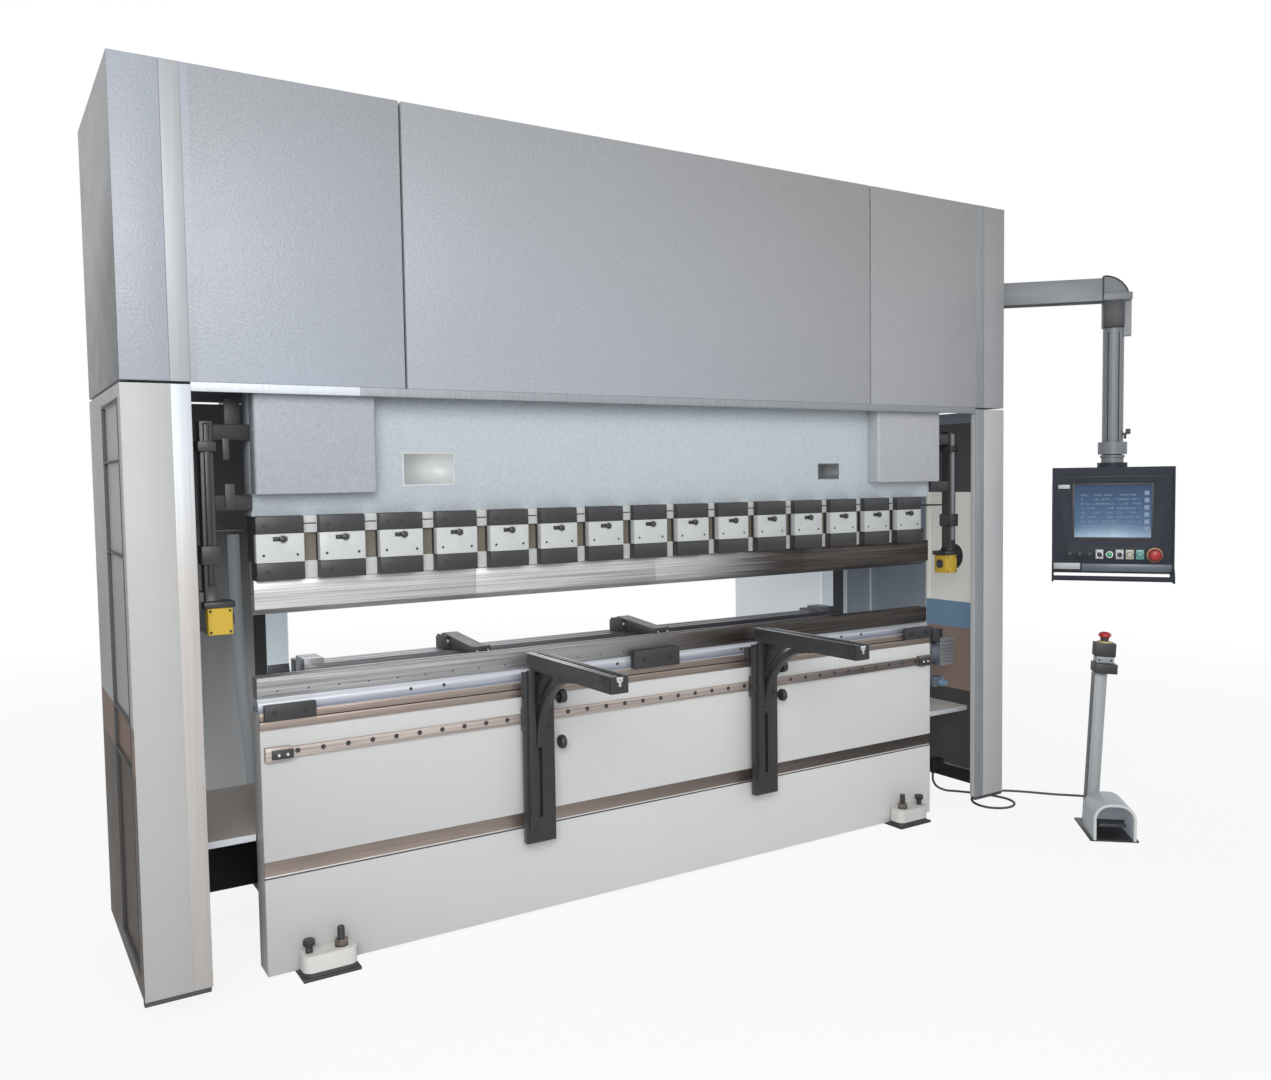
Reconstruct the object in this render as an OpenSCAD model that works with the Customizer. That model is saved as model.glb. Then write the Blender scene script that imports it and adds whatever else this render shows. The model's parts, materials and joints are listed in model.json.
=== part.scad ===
// Hydraulic press brake with two cylinders, a back gauge, front sheet supports,
// a hanging control pendant and a foot console. Millimetres, +Z up, +X to the
// right of someone who stands in front. The origin is at floor level, in the
// middle of the four foundation bolt holes.

/* [Bending length] */
// Length of the table and the ram
bend_l = 3050; // [2850:10:3250]
// Clear distance between the side frames
between_frames = 2600; // [2450:10:2640]

/* [Side frames] */
// Thickness of a side frame plate
frame_t = 80; // [60:1:95]
// Depth of the throat behind the bend line
throat_d = 450; // [400:1:500]
// Back edge of the side frames behind the bend line
frame_back = 1150; // [1100:5:1200]
// Top of the side frames above the cylinders
frame_over = 131; // [90:1:150]
// Top of the lower jaw below the top of the table
jaw_drop = 11; // [5:1:50]
// Bottom of the upper jaw above the bottom of the ram
jaw_over = 146; // [96:1:196]
// Corner radius of the throat
throat_r = 110; // [60:1:160]

/* [Feet] */
// Width of a foot along the bend line
foot_w = 190; // [160:1:220]
// How far a foot reaches beyond the frame or the table
foot_reach = 90; // [80:1:105]
// Thickness of the floor plates
foot_plate_t = 10; // [8:1:20]
// Height of the foot bosses above their plates
boss_h = 70; // [50:1:90]
// Corner radius of a foot boss
boss_r = 30; // [16:1:36]
// Diameter of the foundation bolt holes
anchor_d = 26; // [20:1:36]
// Distance of those holes from the middle of the feet, inwards
anchor_in = 42; // [30:1:50]

/* [Table] */
// Thickness of the table
table_t = 104; // [90:1:120]
// Height of the table
table_h = 871; // [868:1:900]
// Height of the bare machined band at the top of the table
top_band_h = 55; // [40:1:60]
// Depth of the bare bands and grooves in the table's face
band_d = 4; // [2:0.5:8]
// Bottom of the lower bare band
low_band_z = 333; // [300:1:360]
// Height of the lower bare band
low_band_h = 53; // [40:1:70]
// Bottom of the rail for the supports below the top of the table
rail_drop = 149; // [130:1:170]
// Height of the support rail
rail_h = 34; // [28:1:40]
// Thickness of the support rail
rail_t = 14; // [10:1:20]
// Clearance between the sliding pieces and their rails
slide_gap = 0.3; // [0.2:0.05:0.5]

/* [Tooling] */
// Height of the die holder
holder_h = 43; // [38:1:50]
// Width of the die holder
holder_w = 76; // [70:1:84]
// Width of the die
die_w = 60; // [54:1:66]
// Height of the die
die_h = 71; // [60:1:76]
// Opening of the die's vee
vee_w = 24; // [16:1:32]
// Height of the die clamp blocks
block_h = 52; // [44:1:58]
// Length of a die clamp block
block_l = 165; // [120:1:180]
// Daylight between the punch and the die with the ram up
daylight = 200; // [198:1:215]
// Height of the punch blade below the clamps
punch_h = 115; // [100:1:120]
// Thickness of the punch body
punch_t = 26; // [20:1:30]

/* [Ram] */
// Thickness of the ram
ram_t = 90; // [80:1:98]
// Height of the ram plate
ram_h = 645; // [620:1:660]
// Width of a punch clamp
clamp_w = 150; // [130:1:160]
// Distance from one clamp to the next
clamp_pitch = 200; // [190:1:215]
// Height of the dark bar above a clamp plate
clamp_bar_h = 56; // [50:1:62]
// Height of the white clamp plate
clamp_plate_h = 91; // [84:1:96]
// Height of the dark clamp jaw
clamp_jaw_h = 57; // [50:1:62]
// Front of the clamps ahead of the bend line
clamp_reach = 90; // [84:1:96]
// Width of an end cover on the ram
ram_cover_w = 390; // [360:1:420]
// Front of the ram covers ahead of the bend line
ram_cover_reach = 114; // [108:1:118]
// Bottom of the ram covers above the bottom of the ram
ram_cover_lift = 70; // [60:1:90]

/* [Cylinders] */
// Outer diameter of a cylinder
cyl_d = 230; // [200:1:240]
// Length of a cylinder
cyl_l = 440; // [400:1:460]
// Diameter of a piston rod
rod_d = 96; // [80:1:96]
// Gap between the ram and the cylinders with the ram up
cyl_gap = 30; // [20:1:40]

/* [Housing] */
// Width of the housing over the side covers
housing_w = 3810; // [3780:10:3900]
// Top of the housing above the side frames
housing_over = 91; // [70:1:110]
// Front of the housing ahead of the bend line
housing_front = 160; // [150:1:170]
// Back of the side covers behind the bend line
housing_back = 680; // [640:1:720]
// Seam between the column covers and the upper housing, above the bottom of the ram
seam_over = 409; // [386:1:426]
// Width of the dark seams between the panels
seam_w = 8; // [4:1:12]
// Gap between the column covers and the floor
floor_gap = 74; // [60:1:90]
// Thickness of the cover panels with their folded edges
panel_t = 30; // [24:1:36]
// Width of the outer front panels
outer_panel_w = 137; // [120:1:150]
// Width of the polished strips
strip_w = 56; // [50:1:64]
// Width of the centre panel of the upper housing
centre_panel_w = 2080; // [1900:10:2300]
// Height of the polished strip under the upper housing
low_strip_h = 28; // [20:1:40]
// Front edge of the side windows, from the front of the housing
window_front = 70; // [55:1:100]
// Width of the side windows
window_w = 390; // [340:1:430]
// Bottom of the side windows
window_low = 140; // [120:1:200]
// Thickness of the side window panes
pane_t = 6; // [4:1:10]
// Bottom of the shelf inside the column covers
shelf_z = 440; // [420:1:470]
// Thickness of that shelf
shelf_t = 22; // [12:1:30]
// Front edge of the shelf behind the bend line
shelf_y = 28; // [10:1:60]

/* [Back gauge] */
// Bottom of the gauge beam above the top of the table
gauge_over = 29; // [19:1:34]
// Height of the gauge beam
gauge_h = 52; // [44:1:56]
// Depth of the gauge beam
gauge_t = 110; // [90:1:130]
// Front of the gauge beam behind the bend line
gauge_y = 330; // [300:1:360]
// Gap between the gauge tips and the bend line
tip_y = 80; // [75:1:100]
// Place of the left gauge finger from the middle
finger_left_x = -690; // [-760:1:-600]
// Place of the right gauge finger from the middle
finger_right_x = 110; // [40:1:200]
// Width of a gauge finger
finger_w = 86; // [70:1:100]
// Depth of the gauge side units
gauge_unit_d = 230; // [205:1:240]

/* [Front supports] */
// Place of the left support from the middle
support_left_x = -558; // [-650:1:-450]
// Place of the right support from the middle
support_right_x = 491; // [400:1:600]
// Width of a support bracket
bracket_w = 118; // [100:1:130]
// Bottom of the support brackets below their rail
bracket_drop = 434; // [400:1:460]
// Thickness of the bracket plate
bracket_t = 26; // [20:1:32]
// Reach of the support arms ahead of the bend line
arm_reach = 680; // [600:1:760]
// Width of a support arm
arm_w = 66; // [56:1:76]
// Height of a support arm
arm_h = 56; // [48:1:64]

/* [Pendant] */
// Place of the boom pivot outside the housing's side
pivot_out = 85; // [80:1:100]
// Place of the boom pivot behind the bend line
pivot_y = 15; // [0:1:40]
// Length of the boom between its two upright axes
boom_l = 581; // [520:1:640]
// Height of the middle of the boom
boom_z = 2470; // [2440:1:2500]
// Height of the boom's section
boom_h = 108; // [96:1:116]
// Width of the boom's section
boom_w = 84; // [70:1:96]
// Angle of the boom from the right side towards the front
boom_angle = 45; // [40:1:50]
// Diameter of the hanging tube
tube_d = 94; // [80:1:100]
// Bottom of the hanging tube
tube_low = 1690; // [1670:1:1720]
// Angle that the pendant is turned from the front
pendant_turn = 54; // [46:1:60]
// Width of the pendant
pendant_w = 534; // [500:1:570]
// Height of the pendant
pendant_h = 545; // [500:1:580]
// Depth of the pendant
pendant_d = 150; // [130:1:170]
// Bottom of the pendant
pendant_low = 1083; // [1060:1:1110]
// Width of the screen
screen_w = 335; // [300:1:360]
// Height of the screen
screen_h = 247; // [220:1:262]

/* [Foot console] */
// Place of the console to the right of the middle
console_x = 1981; // [1960:1:2100]
// Place of the console ahead of the bend line
console_y = 665; // [620:1:720]
// Angle that the console is turned from the front
console_turn = 42; // [30:1:50]
// Width of the console's base plate
base_w = 200; // [190:1:230]
// Depth of the console's base plate
base_d = 310; // [290:1:340]
// Thickness of the base plate
base_t = 8; // [6:1:12]
// Width of the hood over the pedal
hood_w = 176; // [160:1:184]
// Height of the hood
hood_h = 158; // [140:1:170]
// Depth of the hood
hood_d = 200; // [180:1:215]
// Wall of the hood
hood_t = 12; // [10:1:16]
// Height of the console's post
post_h = 700; // [640:1:760]
// Width of the post
post_w = 52; // [44:1:60]
// Depth of the post
post_d = 60; // [50:1:70]
// Lean of the post to the side, over its height
post_lean = 3; // [0:0.5:5]

/* [Hidden] */

$fn = 48;
eps = 0.01;

// Heights that follow from one another, from the floor up
table_low = foot_plate_t;
holder_top = table_h + holder_h;
die_top = holder_top + die_h;
tip_z = die_top + daylight;
jaw_z = tip_z + punch_h;
plate_z = jaw_z + clamp_jaw_h;
bar_z = plate_z + clamp_plate_h;
ram_low = bar_z + clamp_bar_h;
ram_top = ram_low + ram_h;
cyl_low = ram_top + cyl_gap;
cover_low = ram_low + ram_cover_lift;
frame_h = cyl_low + cyl_l + frame_over;
housing_h = frame_h + housing_over;
seam_z = ram_low + seam_over;
jaw_low = table_h - jaw_drop;
jaw_high = ram_low + jaw_over;
rail_z = table_h - rail_drop;
bracket_low = rail_z - bracket_drop;
gauge_z = table_h + gauge_over;

// Places across the machine
frame_in = between_frames / 2;
frame_mid = frame_in + frame_t / 2;
half_l = bend_l / 2;
half_housing = housing_w / 2;
strip_out = half_housing - outer_panel_w;
strip_in = strip_out - strip_w;

// Places in depth, measured from the bend line
table_front = -table_t / 2;
table_back = table_t / 2;
rail_front = table_front - rail_t;
front_foot_y = table_front - foot_reach / 2;
rear_foot_y = frame_back + foot_reach / 2;
bend_y = -(front_foot_y + rear_foot_y) / 2;
ram_front = -ram_t / 2;
ram_back = ram_t / 2;
guide_t = 25;
guide_w = 10;
jaw_front = ram_back + guide_t;
cyl_seat = cyl_d / 2 + 6;
cover_back = housing_back - panel_t;

clamp_n = floor((bend_l - clamp_w) / clamp_pitch) + 1;
clamp_x0 = -half_l;

// Colours, as the finished machine shows them
paint = [0.78, 0.79, 0.80];
pale = [0.90, 0.90, 0.88];
dark = [0.16, 0.16, 0.17];
steel = [0.62, 0.62, 0.63];
bare = [0.55, 0.48, 0.42];
polished = [0.80, 0.81, 0.83];
yellow = [0.90, 0.72, 0.15];
red = [0.75, 0.08, 0.08];

// The machine's own frame has the bend line at Y = 0
module at_bend() {
    translate([0, bend_y, 0]) children();
}

// Does the same on both sides of the machine
module both_sides() {
    for (side = [0, 1]) mirror([side, 0, 0]) children();
}

// A box by its two corners
module span(low, high) {
    translate(low) cube(high - low);
}

// A board with its upright edges rounded, standing on Z = 0
module rounded_board(size, r) {
    translate([r, 0, 0]) cube([size.x - 2 * r, size.y, size.z]);
    translate([0, r, 0]) cube([size.x, size.y - 2 * r, size.z]);
    for (x = [r, size.x - r], y = [r, size.y - r]) {
        translate([x, y, 0]) cylinder(r = r, h = size.z);
    }
}

// A flat outline in depth and height, extruded across the machine
module across(x, w) {
    translate([x, 0, 0]) rotate([90, 0, 90]) linear_extrude(w) children();
}

// Side frames

module throat_outline() {
    translate([jaw_front - 300, jaw_low]) {
        square([throat_d - jaw_front + 300 - throat_r, jaw_high - jaw_low]);
        translate([0, throat_r]) square([throat_d - jaw_front + 300, jaw_high - jaw_low - 2 * throat_r]);
    }
    for (z = [jaw_low + throat_r, jaw_high - throat_r]) {
        translate([throat_d - throat_r, z]) circle(r = throat_r);
    }
}

module frame_outline() {
    difference() {
        polygon([
            [table_back, table_low], [frame_back, table_low], [frame_back, frame_h],
            [cyl_seat, frame_h], [cyl_seat, cyl_low], [jaw_front, cyl_low],
            [jaw_front, jaw_high - 1], [table_back, jaw_high - 1]]);
        throat_outline();
        translate([table_back - 1, jaw_high - 2]) square([jaw_front - table_back + 1, 2]);
    }
}

module left_side_frame() {
    color(dark) at_bend() across(-frame_in - frame_t, frame_t) frame_outline();
}

module right_side_frame() {
    color(dark) at_bend() across(frame_in, frame_t) frame_outline();
}

beam_t = 60;
beam_h = 320;
module cross_beams() {
    color(dark) at_bend() {
        span([-frame_in, frame_back - beam_t, 60], [frame_in, frame_back, 60 + beam_h]);
        span([-frame_in, cyl_seat, frame_h - 250], [frame_in, cyl_seat + beam_t, frame_h]);
        span([-frame_in, frame_back - beam_t, frame_h - beam_h], [frame_in, frame_back, frame_h]);
    }
}

// Feet: a floor plate with a rounded boss, drilled for the foundation bolt

module foot(y_plate, plate_d, y_boss) {
    difference() {
        union() {
            span([frame_mid - foot_w / 2, y_plate, 0],
                [frame_mid + foot_w / 2, y_plate + plate_d, foot_plate_t]);
            translate([frame_mid - foot_w / 2 + 6, y_boss - foot_reach / 2 + 6, foot_plate_t])
                rounded_board([foot_w - 12, foot_reach - 6, boss_h], boss_r);
        }
        translate([frame_mid - anchor_in, y_boss, -eps]) cylinder(d = anchor_d, h = foot_plate_t + boss_h + 2 * eps);
    }
}

module front_feet() {
    color(pale) at_bend() both_sides()
        foot(table_front - foot_reach, table_t + foot_reach, front_foot_y);
}

module rear_feet() {
    color(pale) at_bend() both_sides() mirror([0, 1, 0])
        foot(-frame_back - foot_reach, foot_reach + 110, -rear_foot_y);
}

// Table and lower tools

module table_beam() {
    color(pale) at_bend() difference() {
        span([-half_l, table_front, table_low], [half_l, table_back, table_h]);
        span([-half_l - 1, table_front - 1, table_h - top_band_h - 3],
            [half_l + 1, table_front + band_d, table_h - top_band_h]);
        span([-half_l - 1, table_front - 1, table_h - top_band_h / 2],
            [half_l + 1, table_front + band_d, table_h - top_band_h / 2 + 3]);
        span([-half_l - 1, table_front - 1, low_band_z],
            [half_l + 1, table_front + band_d, low_band_z + low_band_h]);
    }
}

rail_stop_l = 90;
module support_rail() {
    color(steel) at_bend() {
        span([-half_l + rail_stop_l, rail_front, rail_z], [half_l - rail_stop_l, table_front, rail_z + rail_h]);
        both_sides() span([half_l - rail_stop_l, rail_front - 8, rail_z - 6],
            [half_l - 10, table_front, rail_z + rail_h + 6]);
    }
}

module die_holder() {
    color(steel) at_bend() across(-half_l, bend_l) polygon([
        [-holder_w / 2, table_h], [holder_w / 2, table_h], [holder_w / 2, holder_top - 14],
        [holder_w / 2 - 14, holder_top], [-holder_w / 2 + 14, holder_top],
        [-holder_w / 2, holder_top - 14]]);
}

module lower_die() {
    color(steel) at_bend() across(-half_l, bend_l) polygon([
        [-die_w / 2 + 8, holder_top], [die_w / 2 - 8, holder_top], [die_w / 2, holder_top + 12],
        [die_w / 2, die_top - 4], [die_w / 2 - 4, die_top], [vee_w / 2, die_top],
        [0, die_top - vee_w / 2], [-vee_w / 2, die_top], [-die_w / 2 + 4, die_top],
        [-die_w / 2, die_top - 4], [-die_w / 2, holder_top + 12]]);
}

block_x = [-half_l + 12, -half_l / 3 - block_l / 2, half_l / 3 - block_l / 2, half_l - 12 - block_l];
module die_clamp_blocks() {
    color(dark) at_bend() for (x = block_x) {
        span([x, table_front - 20, table_h - 24], [x + block_l, table_front, table_h - 24 + block_h]);
    }
}

// Cylinders, their rods and the ram's guides

flange_h = 60;
bore_gap = 0.5;
module cylinders() {
    color(steel) at_bend() both_sides() translate([frame_mid, 0, cyl_low]) difference() {
        union() {
            cylinder(d = cyl_d, h = cyl_l);
            span([-cyl_seat, -cyl_seat, 0], [cyl_seat, cyl_seat, flange_h]);
            translate([0, 0, cyl_l - 40]) cylinder(d = cyl_d + 8, h = 40);
        }
        translate([0, 0, -eps]) cylinder(d = rod_d + 2 * bore_gap, h = cyl_l - 30);
    }
}

module ram_rods() {
    color(polished) at_bend() both_sides() translate([frame_mid, 0, ram_top])
        cylinder(d = rod_d, h = cyl_gap + cyl_l - 100);
}

// A guide strip stands on each side of the piston rod's path
module ram_guides() {
    color(bare) at_bend() both_sides() for (x = [frame_in, frame_in + frame_t - guide_w]) {
        span([x, ram_back + slide_gap, jaw_high + 20], [x + guide_w, jaw_front, cyl_low - 20]);
    }
}

tank_gap = 10;
module oil_tank() {
    color(paint) at_bend() {
        span([-frame_in, housing_back + tank_gap, seam_z + 60], [frame_in, frame_back - beam_t, frame_h - beam_h - 90]);
        span([-frame_in, housing_back + tank_gap, frame_h - beam_h - 90],
            [frame_in, frame_back - beam_t, frame_h - beam_h - 78]);
    }
}

motor_d = 210;
motor_z = frame_h - beam_h - 78;
module pump_motor() {
    color(dark) at_bend() translate([0, (housing_back + frame_back - beam_t) / 2, motor_z]) {
        cylinder(d = motor_d + 40, h = 14);
        translate([0, 0, 14]) difference() {
            cylinder(d = motor_d, h = 230);
            for (a = [0 : 30 : 330]) {
                rotate([0, 0, a]) translate([motor_d / 2 - 9, -4, 30]) cube([20, 8, 180]);
            }
        }
        translate([0, 0, 244]) cylinder(d = motor_d - 20, h = 40);
    }
}

// Covers of the two columns

window_y = -housing_front + window_front;
window_top = seam_z - seam_w - 50;
module column_cover() {
    difference() {
        union() {
            span([strip_in, -housing_front, floor_gap],
                [half_housing, -housing_front + panel_t, seam_z - seam_w]);
            span([half_housing - panel_t, -housing_front, floor_gap],
                [half_housing, housing_back, seam_z - seam_w]);
            span([frame_in + frame_t, cover_back, floor_gap],
                [half_housing, housing_back, seam_z - seam_w]);
            span([half_l + 6, shelf_y, shelf_z],
                [half_housing - panel_t, table_back + 9, shelf_z + shelf_t]);
            span([frame_in + frame_t, table_back + 8, shelf_z],
                [half_housing - panel_t, cover_back, shelf_z + shelf_t]);
        }
        span([half_housing - panel_t - 1, window_y, window_low],
            [half_housing + 1, window_y + window_w, window_top]);
        span([strip_in - 1, -housing_front - 1, floor_gap - 1],
            [strip_out, -housing_front + 4, seam_z]);
    }
}

module left_column_cover() {
    color(pale) at_bend() mirror([1, 0, 0]) column_cover();
}

// The console's cable ends at a gland in a small junction box inside the cover
cable_end = [1820, 200, 105];
module right_column_cover() {
    color(pale) at_bend() {
        column_cover();
        span([cable_end.x - 22, cable_end.y - 22, cable_end.z + 12],
            [half_housing - panel_t, cable_end.y + 22, cable_end.z + 60]);
        translate(cable_end) cylinder(d = gland_d, h = 13);
    }
}

module side_windows() {
    color(dark) at_bend() both_sides() {
        span([half_housing - panel_t / 2, window_y, window_low],
            [half_housing - panel_t / 2 + pane_t, window_y + window_w, window_top]);
        span([half_housing - panel_t / 2 - 8, window_y, window_low],
            [half_housing - panel_t / 2, window_y + 14, window_top]);
        span([half_housing - panel_t / 2 - 8, window_y + window_w - 14, window_low],
            [half_housing - panel_t / 2, window_y + window_w, window_top]);
    }
}

module column_strips() {
    color(polished) at_bend() both_sides() {
        span([strip_in, -housing_front, floor_gap], [strip_out, -housing_front + 4, seam_z - seam_w]);
        span([strip_in, -housing_front, seam_z], [strip_out, -housing_front + 4, housing_h]);
    }
}

// Upper housing

half_centre = centre_panel_w / 2;
module upper_front_panels() {
    color(paint) at_bend() {
        span([-half_centre, -housing_front, seam_z], [half_centre, -housing_front + panel_t, housing_h]);
        both_sides() {
            span([half_centre + seam_w, -housing_front, seam_z],
                [strip_in, -housing_front + panel_t, housing_h]);
            span([strip_in, -housing_front + 4, seam_z],
                [strip_out, -housing_front + panel_t, housing_h]);
        }
        span([-strip_in, -housing_front + panel_t, housing_h - 60],
            [strip_in, -housing_front + panel_t + 4, housing_h - panel_t]);
    }
}

module upper_side_panels() {
    color(paint) at_bend() both_sides() {
        span([strip_out, -housing_front, seam_z],
            [half_housing - panel_t, -housing_front + panel_t, housing_h]);
        span([half_housing - panel_t, -housing_front, seam_z], [half_housing, housing_back, housing_h]);
    }
}

module top_cover() {
    color(paint) at_bend()
        span([-half_housing + panel_t, -housing_front + panel_t, housing_h - panel_t],
            [half_housing - panel_t, housing_back, housing_h]);
}

module upper_rear_panels() {
    color(paint) at_bend() {
        span([-frame_in + 2, cover_back, seam_z], [frame_in - 2, housing_back, housing_h - panel_t]);
        both_sides() span([frame_in + frame_t + 2, cover_back, seam_z],
            [half_housing - panel_t, housing_back, housing_h - panel_t]);
    }
}

module lower_front_strip() {
    color(polished) at_bend() {
        span([-strip_in, -housing_front + 2, seam_z - low_strip_h],
            [strip_in, -housing_front + 6, seam_z]);
        span([-strip_in, -housing_front + 6, seam_z - 12],
            [strip_in, -housing_front + panel_t, seam_z]);
    }
}

// Drive of the table's crowning, at its right end

drive_z = table_h - 231;
module crowning_drive() {
    at_bend() translate([half_l, 0, drive_z]) {
        color(dark) span([0, -40, 0], [26, 40, 240]);
        color(steel) translate([26, 0, 120]) rotate([0, 90, 0]) cylinder(d = 92, h = 46);
        color(steel) translate([72, -48, 60]) difference() {
            cube([96, 96, 130]);
            for (z = [12 : 16 : 118]) translate([8, -1, z]) cube([96, 7, 7]);
        }
        color(dark) span([26, -48, 178], [72, 48, 236]);
        color(dark) span([40, -30, 190], [110, 30, 232]);
        color(dark) translate([96, 0, 190]) cylinder(d = 40, h = 20);
        color(steel) span([20, -62, -34], [84, -22, 12]);
    }
}

// Back gauge

unit_w = 70;
rail_low_z = gauge_z - 260;
gauge_rail_back = frame_back;
module gauge_rails() {
    color(dark) at_bend() both_sides() {
        span([frame_in - 40, 120, rail_low_z], [frame_in, gauge_rail_back, rail_low_z + 50]);
        color(polished) span([frame_in - 32, 130, rail_low_z + 50],
            [frame_in - 12, gauge_rail_back - 4, rail_low_z + 66]);
    }
}

carriage_z = rail_low_z + 66 + slide_gap;
post_x = frame_in - 12 - unit_w;
beam_half = post_x - 12;
carriage_y = gauge_y - 40;
carriage_back = carriage_y + gauge_unit_d;
post_y = gauge_y + gauge_t + 20;
post_top = gauge_z + gauge_h;
guide_face = post_y - 12;
module gauge_carriage() {
    at_bend() {
        color(dark) both_sides() {
            span([post_x, carriage_y, carriage_z], [frame_in - 12, carriage_back, carriage_z + 60]);
            difference() {
                span([post_x, post_y, carriage_z + 60], [post_x + unit_w - 10, carriage_back, post_top]);
                span([post_x + 15, post_y - 1, carriage_z + 100],
                    [post_x + unit_w - 25, carriage_back + 1, post_top - 30]);
            }
        }
        color(steel) both_sides()
            span([post_x + 20, guide_face, carriage_z + 80], [post_x + 40, post_y, post_top - 10]);
        color(steel) span([-post_x, carriage_back - 60, carriage_z], [post_x, carriage_back, carriage_z + 60]);
    }
}

// The beam's end brackets reach down along the guides of the carriage
module gauge_beam() {
    at_bend() {
        color(polished) difference() {
            span([-beam_half, gauge_y, gauge_z], [beam_half, gauge_y + gauge_t, gauge_z + gauge_h]);
            for (y = [26, 70]) {
                span([-beam_half - 1, gauge_y + y, gauge_z + gauge_h - 6],
                    [beam_half + 1, gauge_y + y + 14, gauge_z + gauge_h + 1]);
            }
            span([-beam_half - 1, gauge_y - 1, gauge_z + 18],
                [beam_half + 1, gauge_y + 6, gauge_z + 32]);
        }
        color(dark) both_sides() {
            span([beam_half, gauge_y, gauge_z - 20],
                [post_x + unit_w - 10, guide_face - slide_gap, gauge_z + gauge_h + 20]);
            span([post_x + 4, guide_face - 28, carriage_z + 66],
                [post_x + unit_w - 14, guide_face - slide_gap, gauge_z]);
        }
    }
}

// A finger: its foot on the beam, a stepped body and the stop tip
module finger(x) {
    top = gauge_z + gauge_h;
    tip = tip_y;
    at_bend() translate([x, 0, 0]) {
        color(dark) span([-finger_w / 2, gauge_y + 4, top + slide_gap],
            [finger_w / 2, gauge_y + gauge_t - 4, top + 46]);
        color(dark) across(-finger_w / 2 + 14, finger_w - 28) polygon([
            [gauge_y + 4, top + 6], [gauge_y + gauge_t - 10, top + 46], [gauge_y + 60, top + 62],
            [gauge_y - 60, top + 52], [tip + 60, top + 42], [tip + 12, top + 42],
            [tip + 12, top + 14], [tip + 80, top + 6]]);
        color(steel) span([-finger_w / 2 + 10, tip, top + 12], [finger_w / 2 - 10, tip + 12, top + 44]);
        color(steel) span([finger_w / 2 - 14, gauge_y - 60, top + 16], [finger_w / 2, gauge_y + 4, top + 40]);
    }
}

module left_finger() {
    finger(finger_left_x);
}

module right_finger() {
    finger(finger_right_x);
}

// Front supports: a carriage on the rail, a slotted bracket, a braced arm

support_face = rail_front - slide_gap;
carriage_t = 22;
arm_low = die_top - 4 - arm_h;
module support(x) {
    face = support_face - carriage_t;
    plate = face - bracket_t;
    at_bend() translate([x, 0, 0]) {
        color(dark) span([-bracket_w / 2 + 6, face, rail_z - 26], [bracket_w / 2 - 6, support_face, rail_z + rail_h + 26]);
        color(dark) difference() {
            span([-bracket_w / 2, plate, bracket_low], [bracket_w / 2, face, arm_low - 10]);
            span([-7, plate - 1, bracket_low + 90], [7, face + 1, rail_z - 60]);
        }
        color(dark) span([-bracket_w / 2 + 10, plate - 22, bracket_low + 60],
            [-bracket_w / 2 + 34, plate, arm_low]);
        color(dark) difference() {
            span([-arm_w / 2, -arm_reach, arm_low], [arm_w / 2, face, die_top - 4]);
            span([-7, -arm_reach - 1, die_top - 4 - 12], [7, face + 1, die_top]);
            span([-13, -arm_reach - 1, die_top - 4 - 24], [13, face + 1, die_top - 4 - 12]);
        }
        color(dark) brace(plate);
        color(steel) span([-arm_w / 2 - 6, -arm_reach + 10, arm_low + 10],
            [-arm_w / 2, -arm_reach + 90, die_top - 14]);
        color(dark) translate([bracket_w / 2, plate + bracket_t / 2, rail_z + 90]) {
            rotate([0, 90, 0]) cylinder(d = 16, h = 26);
            translate([26, 0, 0]) rotate([0, 90, 0]) cylinder(d = 52, h = 24);
        }
    }
}

// The brace under an arm: a pierced corner plate and a curved rib, with a gap between them
brace_r = 275;
brace_end = 10;
rib_t = 24;
corner_l = 127;
module corner(l) {
    polygon([[0, 1], [-l, 1], [-l, 0], [0, -l], [1, -l], [1, 1]]);
}

module brace(plate) {
    far = brace_r + brace_end;
    across(-arm_w / 4, arm_w / 2) translate([plate, arm_low]) {
        difference() {
            polygon([[1, 1], [-far, 1], [-far, -far], [1, -far]]);
            translate([-far, -far]) circle(r = brace_r, $fn = 96);
            difference() {
                polygon([[0, 0], [-far, 0], [-far, -far], [0, -far]]);
                translate([-far, -far]) circle(r = brace_r + rib_t, $fn = 96);
                corner(corner_l);
            }
            polygon([[-8, -18], [-52, -18], [-8, -62]]);
        }
    }
}

module left_support() {
    support(support_left_x);
}

module right_support() {
    support(support_right_x);
}

// Ram, its covers, clamps and punch

module ram_beam() {
    color(paint) at_bend() span([-half_l, ram_front, ram_low], [half_l, ram_back, ram_top]);
}

module ram_covers() {
    color(paint) at_bend() both_sides() translate([half_l - ram_cover_w, -ram_cover_reach, cover_low]) {
        depth = ram_cover_reach + ram_front;
        difference() {
            rounded_board([ram_cover_w, depth + 12, ram_top - cover_low], 12);
            translate([-1, depth, -1]) cube([ram_cover_w + 2, 20, ram_top]);
        }
    }
}

module each_clamp() {
    for (i = [0 : clamp_n - 1]) translate([clamp_x0 + i * clamp_pitch, 0, 0]) children();
}

clamp_back = 28;
module clamp_bars() {
    color(dark) at_bend() each_clamp()
        span([0, -clamp_reach, bar_z], [clamp_w, clamp_back, bar_z + clamp_bar_h]);
}

slot_w = 46;
module clamp_plates() {
    color(pale) at_bend() each_clamp() difference() {
        span([0, -clamp_reach, plate_z], [clamp_w, -clamp_reach + 30, bar_z]);
        translate([clamp_w / 2 - slot_w / 2, -clamp_reach - 1, bar_z - 24]) cube([slot_w, 14, 14]);
    }
}

module clamp_jaws() {
    color(dark) at_bend() each_clamp() {
        span([0, -clamp_reach, jaw_z], [clamp_w, -punch_t / 2, plate_z]);
        span([0, -clamp_reach + 30, plate_z], [clamp_w, clamp_back, bar_z]);
    }
}

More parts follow.
